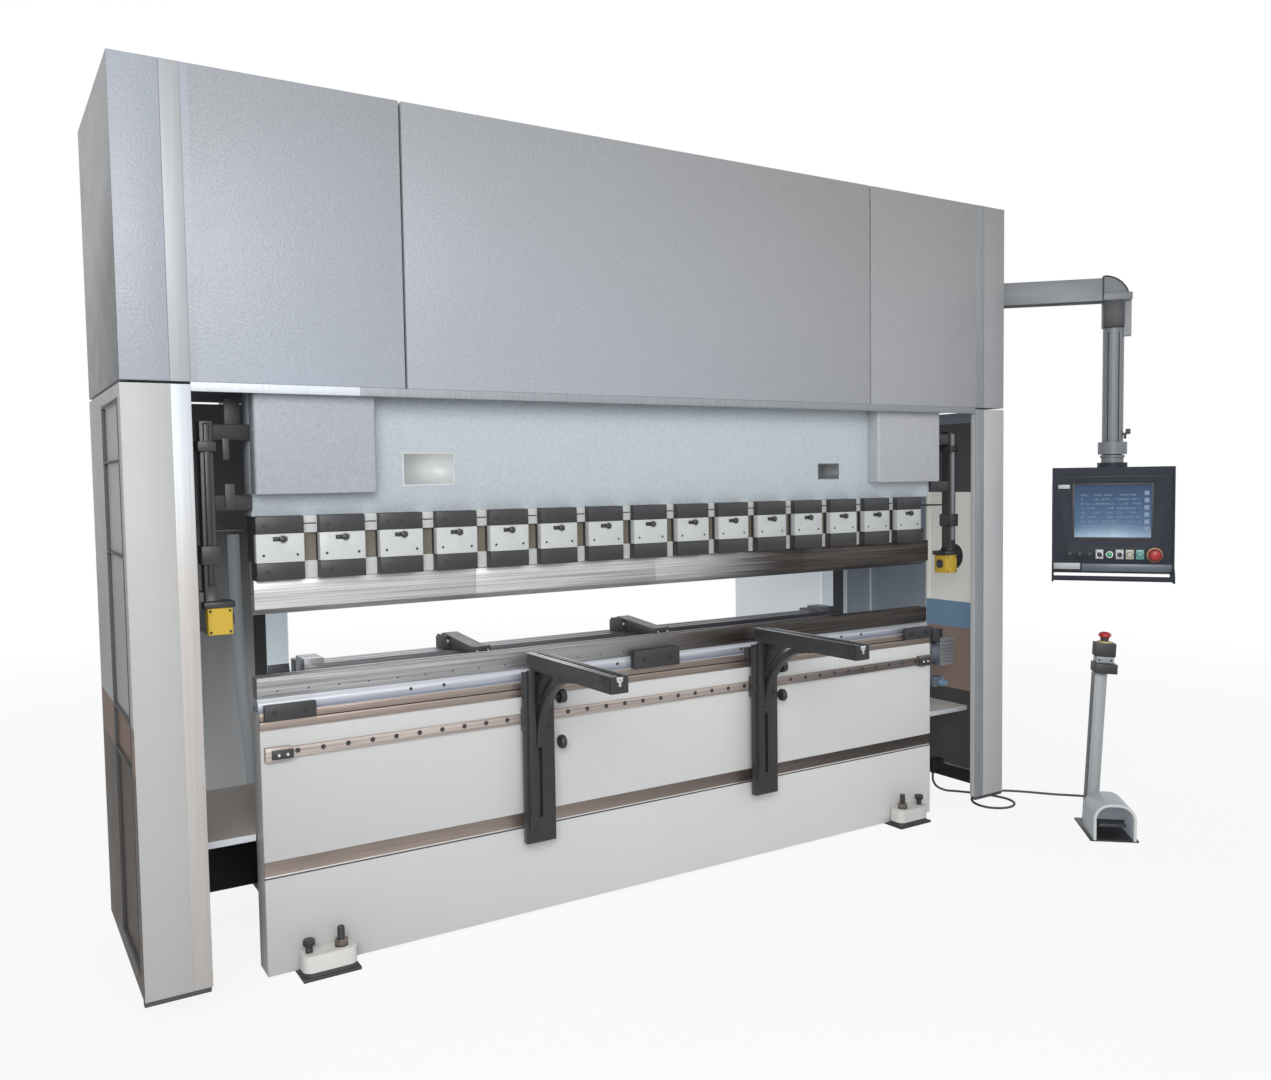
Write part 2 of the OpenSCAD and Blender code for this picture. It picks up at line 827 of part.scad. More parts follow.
wedge_gap = clamp_pitch - clamp_w;
module tool_wedges() {
    color(pale) at_bend() for (i = [0 : clamp_n - 2]) {
        translate([clamp_x0 + i * clamp_pitch + clamp_w, 0, 0]) {
            span([0, -clamp_reach + 28, bar_z], [wedge_gap, clamp_back, bar_z + clamp_bar_h]);
            span([0, -clamp_reach + 44, plate_z], [wedge_gap, clamp_back, bar_z]);
            span([0, -clamp_reach + 36, jaw_z], [wedge_gap, -punch_t / 2, plate_z]);
        }
    }
}

punch_n = 4;
punch_gap = 0.6;
punch_l = bend_l / punch_n;
module punch() {
    color(steel) at_bend() for (i = [0 : punch_n - 1]) {
        across(-half_l + i * punch_l + (i > 0 ? punch_gap : 0), punch_l - (i > 0 ? punch_gap : 0)) polygon([
            [-punch_t / 2, plate_z], [punch_t / 2, plate_z], [punch_t / 2, tip_z + 34],
            [2, tip_z + 2], [0, tip_z], [-4, tip_z + 2], [-38, tip_z + 20], [-40, tip_z + 24],
            [-40, jaw_z], [-punch_t / 2, jaw_z]]);
    }
}

// Light guards: an arm on each end of the ram with an optical head below

guard_x = 113;
module light_guards() {
    at_bend() both_sides() translate([half_l, 0, 0]) {
        color(dark) for (z = [ram_low + 20, ram_low + 240]) span([0, -60, z], [guard_x, -20, z + 50]);
        color(dark) span([guard_x, -70, tip_z + 60], [guard_x + 40, -20, ram_low + 300]);
        color(steel) span([guard_x + 12, -76, tip_z + 110], [guard_x + 28, -70, ram_low + 290]);
        color(dark) span([guard_x - 46, -88, tip_z + 40], [guard_x + 48, -4, tip_z + 60]);
        color(yellow) span([guard_x - 38, -82, tip_z - 44], [guard_x + 36, -10, tip_z + 40]);
        color(dark) translate([guard_x + 42, -20, tip_z + 30]) rotate([90, 0, 0]) cylinder(d = 124, h = 40);
    }
}

// Boom and pendant

pivot_x = half_housing + pivot_out;
pivot_d = 90;
module at_pivot() {
    at_bend() translate([pivot_x, pivot_y, boom_z]) rotate([0, 0, -boom_angle]) children();
}

module at_tube() {
    at_bend() translate([pivot_x + boom_l * cos(boom_angle), pivot_y - boom_l * sin(boom_angle), 0])
        rotate([0, 0, -pendant_turn]) children();
}

pin_d = 40;
pin_gap = 0.1;
module boom_bracket() {
    color(paint) at_bend() {
        span([half_housing, pivot_y - 70, boom_z - 110], [half_housing + 16, pivot_y + 70, boom_z + 110]);
        for (z = [-1, 1]) {
            translate([0, 0, boom_z + z * (boom_h / 2 + pin_gap + 10) - 10]) {
                span([half_housing + 16, pivot_y - 36, 0], [pivot_x, pivot_y + 36, 20]);
                translate([pivot_x, pivot_y, 0]) cylinder(d = 72, h = 20);
            }
        }
    }
    color(steel) at_bend() translate([pivot_x, pivot_y, boom_z - boom_h / 2 - 12])
        cylinder(d = pin_d, h = boom_h + 24);
}

// The elbow is a quarter round over the tube, on a flange
elbow_back = 56;
elbow_r = boom_h + 8;
elbow_w = boom_w + 20;
module boom_arm() {
    color(paint) at_pivot() difference() {
        union() {
            cylinder(d = pivot_d, h = boom_h, center = true);
            span([0, -boom_w / 2, -boom_h / 2], [boom_l - 40, boom_w / 2, boom_h / 2]);
            translate([boom_l - elbow_back, 0, -boom_h / 2]) {
                intersection() {
                    rotate([90, 0, 0]) cylinder(r = elbow_r, h = elbow_w, center = true, $fn = 96);
                    span([0, -elbow_w / 2, 0], [elbow_r, elbow_w / 2, elbow_r]);
                }
                span([0, -elbow_w / 2 - 6, 0], [elbow_r + 12, elbow_w / 2 + 6, 36]);
            }
        }
        cylinder(d = pin_d + 2 * pin_gap, h = boom_h + 2, center = true);
    }
}

tube_top = boom_z - boom_h / 2;
neck_d = 56;
neck_in = 50;
collar_h = 58;
neck_top = tube_low - slide_gap;
module pendant_tube() {
    at_tube() {
        color(paint) difference() {
            translate([0, 0, tube_low]) cylinder(d = tube_d, h = tube_top - tube_low);
            translate([0, 0, tube_low - 1]) cylinder(d = neck_d + 2 * pin_gap, h = neck_in + 3);
            for (a = [0 : 60 : 300]) {
                rotate([0, 0, a]) translate([tube_d / 2 - 4, -3, tube_low + collar_h + 2])
                    cube([8, 6, tube_top - tube_low - collar_h - 150]);
            }
        }
        color(dark) translate([0, 0, tube_top - 124]) difference() {
            cylinder(d = tube_d + 14, h = 124);
            translate([0, 0, -1]) cylinder(d = tube_d, h = 126);
        }
        color(paint) span([tube_d / 2 - 4, -22, tube_top - 165], [tube_d / 2 + 30, 22, tube_top]);
        color(paint) translate([0, 0, tube_low]) difference() {
            cylinder(d = tube_d + 36, h = collar_h);
            translate([0, 0, -1]) cylinder(d = tube_d, h = collar_h + 2);
        }
    }
}

box_top = pendant_low + pendant_h;
box_front = -pendant_d * 0.6;
box_back = pendant_d * 0.4;
tray_d = 56;
button_z = pendant_low + 129;
screen_low = pendant_low + 212;
module pendant_box() {
    at_tube() {
        color(dark) difference() {
            union() {
                span([-pendant_w / 2, box_front, pendant_low + 40], [pendant_w / 2, box_back, box_top]);
                both_sides() across(pendant_w / 2 - 8, 8) polygon([
                    [box_back, pendant_low], [box_back, box_top], [box_front - 12, box_top],
                    [box_front - 12, pendant_low + 70], [box_front - tray_d, pendant_low + 34],
                    [box_front - tray_d, pendant_low]]);
                span([-pendant_w / 2, box_front - tray_d + 10, pendant_low + 10],
                    [pendant_w / 2, box_front, pendant_low + 24]);
            }
            span([-screen_w / 2, box_front - 1, screen_low],
                [screen_w / 2, box_front + 8, screen_low + screen_h]);
        }
        color(steel) translate([0, box_front - tray_d + 10, pendant_low + 18]) rotate([0, 90, 0])
            cylinder(d = 24, h = pendant_w - 10, center = true);
        color(paint) translate([0, 0, box_top]) cylinder(d = tube_d + 40, h = 22);
        color(paint) translate([0, 0, box_top + 22]) cylinder(d = tube_d - 4, h = neck_top - box_top - 22);
        color(steel) translate([0, 0, neck_top]) cylinder(d = neck_d, h = neck_in);
        color(pale) for (i = [0 : 7]) {
            translate([-187 + 44 * i, box_front - 5, button_z]) rotate([-90, 0, 0]) cylinder(d = 26, h = 5);
        }
        color(red) translate([184, box_front - 30, button_z]) rotate([-90, 0, 0]) cylinder(d = 54, h = 14);
        color(pale) translate([184, box_front - 18, button_z]) rotate([-90, 0, 0]) cylinder(d = 34, h = 20);
    }
}

module pendant_screen() {
    color([0.2, 0.35, 0.6]) at_tube() span([-screen_w / 2, box_front + 4, screen_low],
        [screen_w / 2, box_front + 8, screen_low + screen_h]);
}

// Foot console

module at_console() {
    at_bend() translate([console_x, -console_y, 0]) rotate([0, 0, -console_turn]) children();
}

module console_base() {
    color(dark) at_console() span([-base_w / 2, -base_d / 2, 0], [base_w / 2, base_d / 2, base_t]);
}

hood_r = 70;
module arch(w, h, r) {
    translate([-w / 2, 0]) square([w, h - r]);
    translate([-w / 2 + r, 0]) square([w - 2 * r, h]);
    for (x = [-w / 2 + r, w / 2 - r]) translate([x, h - r]) circle(r = r);
}

module pedal_hood() {
    color(paint) at_console() translate([0, -base_d / 2 + hood_d, base_t]) rotate([90, 0, 0]) {
        linear_extrude(hood_d) difference() {
            arch(hood_w, hood_h, hood_r);
            translate([0, -1]) arch(hood_w - 2 * hood_t, hood_h - hood_t + 1, hood_r - hood_t);
        }
        linear_extrude(hood_t) arch(hood_w - 1, hood_h - 1, hood_r);
    }
}

gland_d = 22;
gland_l = 10 - slide_gap;
pedal_y = -base_d / 2 + hood_d - hood_t - 34;
pedal_z = base_t + 34;
pedal_w = hood_w - 2 * hood_t - 40;
module foot_pedal() {
    color(dark) at_console() {
        translate([0, pedal_y, pedal_z]) rotate([0, 90, 0])
            cylinder(d = 22, h = hood_w - 2 * hood_t - 2 * slide_gap, center = true);
        across(-pedal_w / 2, pedal_w) polygon([
            [pedal_y, pedal_z - 8], [pedal_y, pedal_z + 10], [pedal_y - 120, pedal_z + 26],
            [pedal_y - 122, pedal_z + 14]]);
    }
}

post_x0 = -50;
post_y0 = -base_d / 2 + hood_d + post_d / 2 + slide_gap;
module console_post() {
    color(paint) at_console() translate([post_x0, post_y0, base_t]) difference() {
        rotate([0, post_lean, 0]) translate([-post_w / 2, -post_d / 2, -10])
            cube([post_w, post_d, post_h + 10]);
        span([-post_w, -post_d, -20], [post_w, post_d, 0]);
    }
    color(dark) at_console() translate([post_x0 + 3, post_y0 + post_d / 2 - 1, base_t + 52]) rotate([-90, 0, 0])
        cylinder(d = gland_d, h = gland_l + 1);
}

module console_head() {
    at_console() translate([post_x0, post_y0, base_t]) rotate([0, post_lean, 0]) translate([0, 0, post_h]) {
        color(dark) span([-post_w / 2 - 6, -post_d / 2 - 34, 0], [post_w / 2 + 34, post_d / 2 + 6, 42]);
        color(polished) span([-post_w / 2 + 4, -post_d / 2, 42], [post_w / 2 + 24, post_d / 2, 72]);
        color(dark) span([-post_w / 2 - 4, -post_d / 2 - 4, 72], [post_w / 2 + 30, post_d / 2 + 4, 132]);
        color(yellow) translate([12, 0, 132]) cylinder(d = 54, h = 5);
        color(red) translate([12, 0, 137]) cylinder(d1 = 34, d2 = 40, h = 30);
    }
}

// Cable from the console's post to the right column

cable_d = 12;
cable_route = [
    [2023, -548, 60], [2043, -526, 60], [2070, -503, 50], [2106, -482, 24], [2152, -463, 8],
    [2205, -442, 6], [2262, -416, 6], [2316, -380, 6], [2348, -335, 6], [2334, -290, 6],
    [2298, -250, 6], [2256, -205, 6], [2214, -150, 6], [2170, -90, 6], [2120, -34, 6],
    [2064, 4, 8], [2004, 22, 19], [1944, 20, 19], [1884, 0, 8], [1836, -38, 6],
    [1808, -92, 6], [1812, -152, 6], [1856, -198, 6], [1918, -208, 6], [1974, -176, 6],
    [1998, -118, 6], [1990, -56, 6], [1966, 4, 6], [1936, 60, 6], [1900, 112, 6],
    [1862, 154, 8], [1832, 184, 26], [1820, 198, 56], [1820, 200, 82], [1820, 200, 105]];

function unit(v) = v / norm(v);
function ring(p, t, r, n) =
    let (side = unit(cross(t, [0.1, 0.2, 1])), up = cross(side, t))
    [for (a = [0 : n - 1]) p + r * (side * cos(360 * a / n) + up * sin(360 * a / n))];

module sweep(points, r, n) {
    last = len(points) - 1;
    rings = [for (i = [0 : last])
        ring(points[i], unit(points[min(i + 1, last)] - points[max(i - 1, 0)]), r, n)];
    verts = [for (one = rings, v = one) v];
    sides = [for (i = [0 : last - 1], a = [0 : n - 1])
        [i * n + a, i * n + (a + 1) % n, (i + 1) * n + (a + 1) % n, (i + 1) * n + a]];
    polyhedron(verts, concat([[for (a = [n - 1 : -1 : 0]) a]], sides,
        [[for (a = [0 : n - 1]) last * n + a]]), convexity = 8);
}

module pedal_cable() {
    color(dark) at_bend() sweep(cable_route, cable_d / 2, 8);
}

left_side_frame();
right_side_frame();
cross_beams();
front_feet();
rear_feet();
table_beam();
support_rail();
die_holder();
lower_die();
die_clamp_blocks();
cylinders();
ram_guides();
oil_tank();
pump_motor();
left_column_cover();
right_column_cover();
side_windows();
column_strips();
upper_front_panels();
upper_side_panels();
top_cover();
upper_rear_panels();
lower_front_strip();
crowning_drive();
gauge_rails();
boom_bracket();
console_base();
pedal_hood();
console_post();
console_head();
pedal_cable();
ram_beam();
ram_rods();
ram_covers();
clamp_bars();
clamp_plates();
clamp_jaws();
tool_wedges();
punch();
light_guards();
gauge_carriage();
gauge_beam();
left_finger();
right_finger();
left_support();
right_support();
boom_arm();
pendant_tube();
pendant_box();
pendant_screen();
foot_pedal();
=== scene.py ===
# %% [markdown]
# # Dressing a press brake
# A press brake folds sheet metal: a heavy ram drives a punch into a die that lies on a
# long table. Its shape comes from a CAD model, which is loaded here as a fixed frame.
# The lesson adds what CAD leaves out: paints, metals, rounded edges, screws and knobs.
# Lengths are written in millimetres from the bend line, because that is how the machine
# is drawn, and one helper turns them into Blender's metres.

# %% Load the frame
import math

import bpy
from mathutils import Matrix, Vector
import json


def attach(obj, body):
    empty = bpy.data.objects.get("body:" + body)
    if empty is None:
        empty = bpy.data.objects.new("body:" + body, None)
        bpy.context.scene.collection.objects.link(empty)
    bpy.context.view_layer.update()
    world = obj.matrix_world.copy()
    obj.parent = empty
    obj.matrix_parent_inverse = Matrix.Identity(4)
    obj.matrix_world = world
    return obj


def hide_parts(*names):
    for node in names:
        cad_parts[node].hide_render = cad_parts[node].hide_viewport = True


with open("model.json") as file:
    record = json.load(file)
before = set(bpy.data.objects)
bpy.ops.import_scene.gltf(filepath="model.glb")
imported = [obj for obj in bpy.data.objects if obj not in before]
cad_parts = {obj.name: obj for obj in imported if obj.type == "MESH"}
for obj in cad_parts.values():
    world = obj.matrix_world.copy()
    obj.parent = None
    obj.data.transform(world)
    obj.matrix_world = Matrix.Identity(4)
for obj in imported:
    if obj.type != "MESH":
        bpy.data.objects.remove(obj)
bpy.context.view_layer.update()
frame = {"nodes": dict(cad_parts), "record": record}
NODES = frame["nodes"]
SLOTS = {row["node"]: row["material_slot"] for row in frame["record"]["subparts"]}
BODIES = {n: body for body, names in frame["record"]["behaviour"]["bodies"].items() for n in names}
BEND_Y = -0.549


def at(x, y, z):
    """A point in metres, from millimetres measured from the middle of the bend line."""
    return Vector((x / 1000, y / 1000 + BEND_Y, z / 1000))


def linked(name, data):
    piece = bpy.data.objects.new(name, data)
    bpy.context.scene.collection.objects.link(piece)
    return piece


def meshed(name, verts, edges, faces):
    mesh = bpy.data.meshes.new(name)
    mesh.from_pydata(verts, edges, faces)
    return linked(name, mesh)


# %% [markdown]
# ## The camera
# The machine was photographed from its left, a little above eye level. The camera's
# place and angles were worked out from the corners of the machine, so they are written
# as numbers: a turn to the right, a small tilt down and a slight roll.


# %% Set the camera
def look(place, yaw, pitch, roll):
    ahead = Vector((math.sin(yaw) * math.cos(pitch), math.cos(yaw) * math.cos(pitch), math.sin(pitch)))
    side = Vector((math.cos(yaw), -math.sin(yaw), 0))
    up = side.cross(ahead)
    right = side * math.cos(roll) + up * math.sin(roll)
    top = up * math.cos(roll) - side * math.sin(roll)
    turned_to = Matrix((right, top, -ahead)).transposed().to_4x4()
    turned_to.translation = place
    return turned_to


lens = bpy.data.cameras.new("camera")
lens.lens, lens.sensor_width = 30.465, 36
lens.clip_end = 100
camera = linked("camera", lens)
camera.matrix_world = look(at(-2301.556, -3576.434, 1604.173), 0.5588123, -0.0564310, -0.0149474)
bpy.context.scene.camera = camera
print("camera at", [round(v, 3) for v in camera.matrix_world.translation])

# %% [markdown]
# ## The console's cable
# A ribbed conduit runs from the foot console over the floor, in one loose loop by the
# right column, and up into a junction box. Its route is the same list of points as the
# CAD model's cable. A smooth curve is laid through them, and rings are swept along it with
# a radius that swells and shrinks, which gives the ribs as real geometry.

# %% Lay the cable
CABLE_ROUTE = [
    (2023, -548, 60), (2043, -526, 60), (2070, -503, 50), (2106, -482, 24), (2152, -463, 8),
    (2205, -442, 6), (2262, -416, 6), (2316, -380, 6), (2348, -335, 6), (2334, -290, 6),
    (2298, -250, 6), (2256, -205, 6), (2214, -150, 6), (2170, -90, 6), (2120, -34, 6),
    (2064, 4, 8), (2004, 22, 19), (1944, 20, 19), (1884, 0, 8), (1836, -38, 6),
    (1808, -92, 6), (1812, -152, 6), (1856, -198, 6), (1918, -208, 6), (1974, -176, 6),
    (1998, -118, 6), (1990, -56, 6), (1966, 4, 6), (1936, 60, 6), (1900, 112, 6),
    (1862, 154, 8), (1832, 184, 26), (1820, 198, 56), (1820, 200, 82), (1820, 200, 105)]


def smooth_line(points, step):
    """Points a step apart on a Catmull-Rom curve through the given ones."""
    ends = [points[0] * 2 - points[1]] + points + [points[-1] * 2 - points[-2]]
    fine = []
    for a, b, c, d in zip(ends, ends[1:], ends[2:], ends[3:]):
        for i in range(40):
            t = i / 40
            fine.append(0.5 * (2 * b + (c - a) * t + (2 * a - 5 * b + 4 * c - d) * t * t
                               + (3 * b - a - 3 * c + d) * t ** 3))
    fine.append(points[-1])
    line, since = [fine[0]], 0.0
    for a, b in zip(fine, fine[1:]):
        since += (b - a).length
        if since >= step:
            line.append(b)
            since = 0.0
    if (line[-1] - fine[-1]).length > step / 4:
        line.append(fine[-1])
    return line


def ribbed_tube(name, line, radius, rib, sides=10):
    """A tube whose rings alternate between two radii. The rings are carried along without twist."""
    verts, faces = [], []
    first = (line[1] - line[0]).normalized()
    side = first.cross(Vector((0, 1, 0) if abs(first.z) > 0.9 else (0, 0, 1))).normalized()
    for i, p in enumerate(line):
        ahead = (line[min(i + 1, len(line) - 1)] - line[max(i - 1, 0)]).normalized()
        side = (side - ahead * side.dot(ahead)).normalized()
        up = ahead.cross(side)
        r = radius - (rib if i % 2 else 0)
        verts += [p + (side * math.cos(a) + up * math.sin(a)) * r
                  for a in (2 * math.pi * k / sides for k in range(sides))]
    for i in range(len(line) - 1):
        faces += [(i * sides + k, i * sides + (k + 1) % sides, (i + 1) * sides + (k + 1) % sides,
                   (i + 1) * sides + k) for k in range(sides)]
    faces += [tuple(reversed(range(sides))), tuple(range(len(verts) - sides, len(verts)))]
    return meshed(name, verts, [], faces)


cable_line = smooth_line([at(*p) for p in CABLE_ROUTE], 0.0026)
cable = ribbed_tube("console_cable", cable_line, 0.006, 0.0009)
cable_length = sum((b - a).length for a, b in zip(cable_line, cable_line[1:]))
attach(cable, "frame")
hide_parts("pedal_cable")
print("cable", round(cable_length, 3), "m in", len(cable_line), "rings")

# %% [markdown]
# ## Writing shader maths in Python
# A material is a graph of nodes. Wiring it by hand takes many lines, so a small class
# wraps one socket and lets Python's own operators add Math nodes. Colours go through a
# Mix node, because a Math node would turn them grey.


# %% A socket that knows arithmetic
def plug(tree, socket, value):
    if isinstance(value, Wire):
        tree.links.new(value.socket, socket)
    elif hasattr(value, "__len__") and len(value) < len(socket.default_value):
        socket.default_value = (*value, 1)
    else:
        socket.default_value = value


def added(tree, kind, settings=None, inputs=None):
    """A new node with its settings, and with its inputs as values or wires."""
    node = tree.nodes.new(kind)
    for key, value in (settings or {}).items():
        setattr(node, key, value)
    for key, value in (inputs or {}).items():
        plug(tree, node.inputs[key], value)
    return node


class Wire:
    def __init__(self, tree, socket):
        self.tree, self.socket = tree, socket

    def into(self, kind, settings, inputs):
        return Wire(self.tree, added(self.tree, kind, settings, inputs).outputs[0])

    def maths(self, operation, first, second=0.0):
        return self.into("ShaderNodeMath", {"operation": operation}, {0: first, 1: second})

    def __add__(self, other): return self.maths("ADD", self, other)
    def __radd__(self, other): return self.maths("ADD", other, self)
    def __sub__(self, other): return self.maths("SUBTRACT", self, other)
    def __rsub__(self, other): return self.maths("SUBTRACT", other, self)
    def __mul__(self, other): return self.maths("MULTIPLY", self, other)
    def __gt__(self, other): return self.maths("GREATER_THAN", self, other)
    def __lt__(self, other): return self.maths("LESS_THAN", self, other)
    def between(self, low, high): return (self > low) * (self < high)
    def wave(self, length): return self.maths("SINE", self * (2 * math.pi / length)) * 0.5 + 0.5
    def size(self): return self.maths("ABSOLUTE", self)

    def ramp(self, low, high):
        """From 0 at the low value to 1 at the high one."""
        return self.into("ShaderNodeMapRange", {}, {"Value": self, "From Min": low, "From Max": high})


class Finish:
    """One material. Settings of the shader that don't vary are set on its own sockets."""

    def __init__(self, name, **fixed):
        self.material = bpy.data.materials.new(name)
        self.material.use_nodes = True
        self.tree = self.material.node_tree
        self.shader = self.tree.nodes["Principled BSDF"]
        self.place = self.node("ShaderNodeTexCoord", out="Object")
        self.set(**fixed)

    def node(self, kind, settings=None, inputs=None, out=0):
        return Wire(self.tree, added(self.tree, kind, settings, inputs).outputs[out])

    def set(self, **sockets):
        for key, value in sockets.items():
            plug(self.tree, self.shader.inputs[key.replace("_", " ").title()], value)
        return self

    def lit(self, gloss=None, glow=None):
        """Sets how strongly the surface reflects, and how strongly its emission colour shines."""
        for key, value in (("Specular IOR Level", gloss), ("Emission Strength", glow)):
            if value is not None:
                self.shader.inputs[key].default_value = value
        return self

    def axes(self):
        node = added(self.tree, "ShaderNodeSeparateXYZ", inputs={"Vector": self.place})
        return [Wire(self.tree, socket) for socket in node.outputs]

    def noise(self, scale, detail=2.0, stretch=(1, 1, 1)):
        spread = self.node("ShaderNodeMapping", inputs={"Vector": self.place, "Scale": stretch})
        inputs = {"Vector": spread, "Scale": scale, "Detail": detail}
        return self.node("ShaderNodeTexNoise", inputs=inputs, out="Fac")

    def mix(self, factor, first, second):
        return self.node("ShaderNodeMix", {"data_type": "RGBA"}, {0: factor, 6: first, 7: second}, out=2)

    def bump(self, height, depth, strength):
        return self.node("ShaderNodeBump", inputs={"Height": height, "Distance": depth, "Strength": strength})


def shade(colour, by):
    """The same colour, lighter or darker."""
    return tuple(min(1.0, c * by) for c in colour)


print("sockets ready")

# %% [markdown]
# ## Floor and light
# A pale studio: one large soft lamp from the front left, a weaker one from the right,
# one behind, and a white surrounding. Light Path keeps the background white for the
# camera, for reflections and through glass, while its light stays at a plain level, so
# that paint renders about as it is written.

# %% Light the studio
scene = bpy.context.scene
scene.view_settings.view_transform = "Standard"


def lamp(name, place, target, size, watts):
    light = bpy.data.lights.new(name, "AREA")
    light.shape, light.size, light.size_y, light.energy = "RECTANGLE", size[0], size[1], watts
    piece = linked(name, light)
    piece.location = place
    piece.rotation_euler = (target - place).to_track_quat("-Z", "Y").to_euler()


lamp("key_lamp", at(-2700, -4500, 3100), at(-500, 0, 1300), (3.4, 2.6), 190)
lamp("fill_lamp", at(4200, -4000, 3000), at(600, 0, 1200), (3.0, 3.0), 12)
lamp("back_lamp", at(0, 4500, 4500), at(0, 500, 1500), (4.0, 3.0), 70)
world = scene.world or bpy.data.worlds.new("world")
scene.world = world
world.use_nodes = True
sky = world.node_tree
sky.nodes.clear()
path = added(sky, "ShaderNodeLightPath").outputs
direct = Wire(sky, path["Is Camera Ray"])
for kind in ("Is Glossy Ray", "Is Transmission Ray"):
    settings = {"operation": "ADD", "use_clamp": True}
    direct = direct.into("ShaderNodeMath", settings, {0: direct, 1: Wire(sky, path[kind])})
soft = direct.into("ShaderNodeBackground", {}, {"Color": (0.93, 0.96, 1.0, 1), "Strength": 0.33})
white = direct.into("ShaderNodeBackground", {}, {"Color": (1, 1, 1, 1)})
both = direct.into("ShaderNodeMixShader", {}, {0: direct, 1: soft, 2: white})
sky.links.new(both.socket, sky.nodes.new("ShaderNodeOutputWorld").inputs[0])

bpy.ops.object.select_all(action="DESELECT")
bpy.ops.mesh.primitive_plane_add(size=40, location=(0, 0, -0.0005))
floor = bpy.context.object
floor.name = "floor"
print("three lamps and a floor")

# %% [markdown]
# ## Paints
# The housing and the ram wear a textured enamel: fine bumps about a centimetre apart
# that scatter the light. The columns and the table are smoother. Each paint gets a
# faint cloudiness and a roughness that varies, since no sprayed panel is even.


# %% Enamels and plastics
def enamel(name, colour, rough=0.42, grain=0.0, size=110.0, clouds=0.06):
    f = Finish(name, metallic=0.0)
    f.set(base_color=f.mix(f.noise(2.3, 3.0), shade(colour, 1 - clouds), shade(colour, 1 + clouds)),
          roughness=f.noise(9.0) * 0.16 + (rough - 0.08))
    height = f.noise(size, 2.5) if grain else f.noise(420.0, 1.0)
    return f.set(normal=f.bump(height, grain or 0.00012, 0.55 if grain else 0.25))


def leathered(f, colour):
    """The colour, a little darker in the hollows of a grain about a centimetre wide."""
    return f.mix(f.noise(120.0, 2.5).ramp(0.35, 0.65), shade(colour, 0.94), shade(colour, 1.06))


SIDE_X = 1.9035  # just inside the outer faces of the columns and the housing
finishes = {}


def begun(slot, name):
    """A new finish for a slot, its own mix and noise, and its three coordinates."""
    f = finishes[slot] = Finish(name, metallic=0.0)
    return f, f.mix, f.noise, *f.axes()


housing = enamel("housing_enamel", (0.42, 0.45, 0.50), 0.40, 0.0032, 120.0)
x, y, z = housing.axes()
# Painted light and shade on the housing's front: darker towards the top, bluer on the left, greyer to the right,
# and darker at the left end.
darker_towards_top = (z + housing.noise(0.9) * 0.5).ramp(1.9, 3.05)
cold = housing.mix(darker_towards_top, leathered(housing, (0.41, 0.445, 0.51)), leathered(housing, (0.33, 0.345, 0.37)))
plain = housing.mix(darker_towards_top, leathered(housing, (0.44, 0.45, 0.48)), leathered(housing, (0.353, 0.35, 0.35)))
end_panel = (x < -1.69) * (y < BEND_Y - 0.10)
left = housing.mix(end_panel, cold, leathered(housing, (0.36, 0.385, 0.43)))
face = housing.mix(x.ramp(-1.3, 1.2), left, plain)
# Painted shade: the housing's left side is dark below and lighter above.
end = housing.mix((z + y * 0.35).ramp(2.05, 2.35), (0.14, 0.145, 0.15), (0.32, 0.335, 0.35))
housing.set(base_color=housing.mix(x < -SIDE_X, face, end))
finishes["housing_paint"] = housing
ram_paints = []
# Painted light: the ram and its covers are painted lighter towards the right.
for name, left, right in (("ram_enamel", (0.44, 0.49, 0.525), (0.64, 0.71, 0.76)),
                          ("ram_cover_enamel", (0.385, 0.41, 0.455), (0.52, 0.53, 0.55))):
    f = enamel(name, left, 0.40, 0.003, 120.0)
    f.set(base_color=f.mix(f.axes()[0].ramp(-1.4, 1.3), leathered(f, left), leathered(f, right)))
    ram_paints.append(f)
for slot, *look in (("motor_black", "motor_enamel", (0.045, 0.045, 0.05), 0.45),
                    ("clamp_black", "blackened_steel", (0.040, 0.040, 0.044), 0.40, 0.0002, 300.0, 0.2),
                    ("tank_paint", "tank_enamel", (0.52, 0.54, 0.57), 0.42, 0.0008, 85.0),
                    ("console_paint", "console_enamel", (0.40, 0.425, 0.44), 0.40),
                    ("console_black", "console_plastic", (0.040, 0.040, 0.043), 0.45, 0.0002, 500.0),
                    ("gauge_black", "gauge_enamel", (0.040, 0.040, 0.045), 0.38, 0.0002, 300.0),
                    ("support_black", "support_enamel", (0.034, 0.034, 0.037), 0.36, 0.0002, 260.0),
                    ("pendant_grey", "pendant_enamel", (0.040, 0.046, 0.059), 0.50, 0.0003, 260.0),
                    ("cable_rubber", "conduit_rubber", (0.085, 0.09, 0.095), 0.5)):
    finishes[slot] = enamel(*look)
finishes["pendant_grey"].lit(gloss=0.15)
print(len(finishes), "enamels")

# %% [markdown]
# ## Bare metal
# The punch, the die and the rails are ground steel, with fine scratches along their
# length. The scratches are a noise that is stretched far along one axis. There is no
# room round the machine for them to mirror, so the light and dark of one are painted in,
# also on the trim strips beside the columns.


# %% Metals
def ground(name, colour, rough, along=(1.0, 40.0, 40.0), scale=14.0, tint=0.14):
    f = Finish(name, metallic=1.0)
    lines = f.noise(scale, 3.0, along)
    f.set(base_color=f.mix(f.noise(3.0), shade(colour, 1 - tint), shade(colour, 1 + tint)),
          roughness=lines * 0.22 + (rough - 0.11))
    return f.set(normal=f.bump(lines, 0.00015, 0.35))


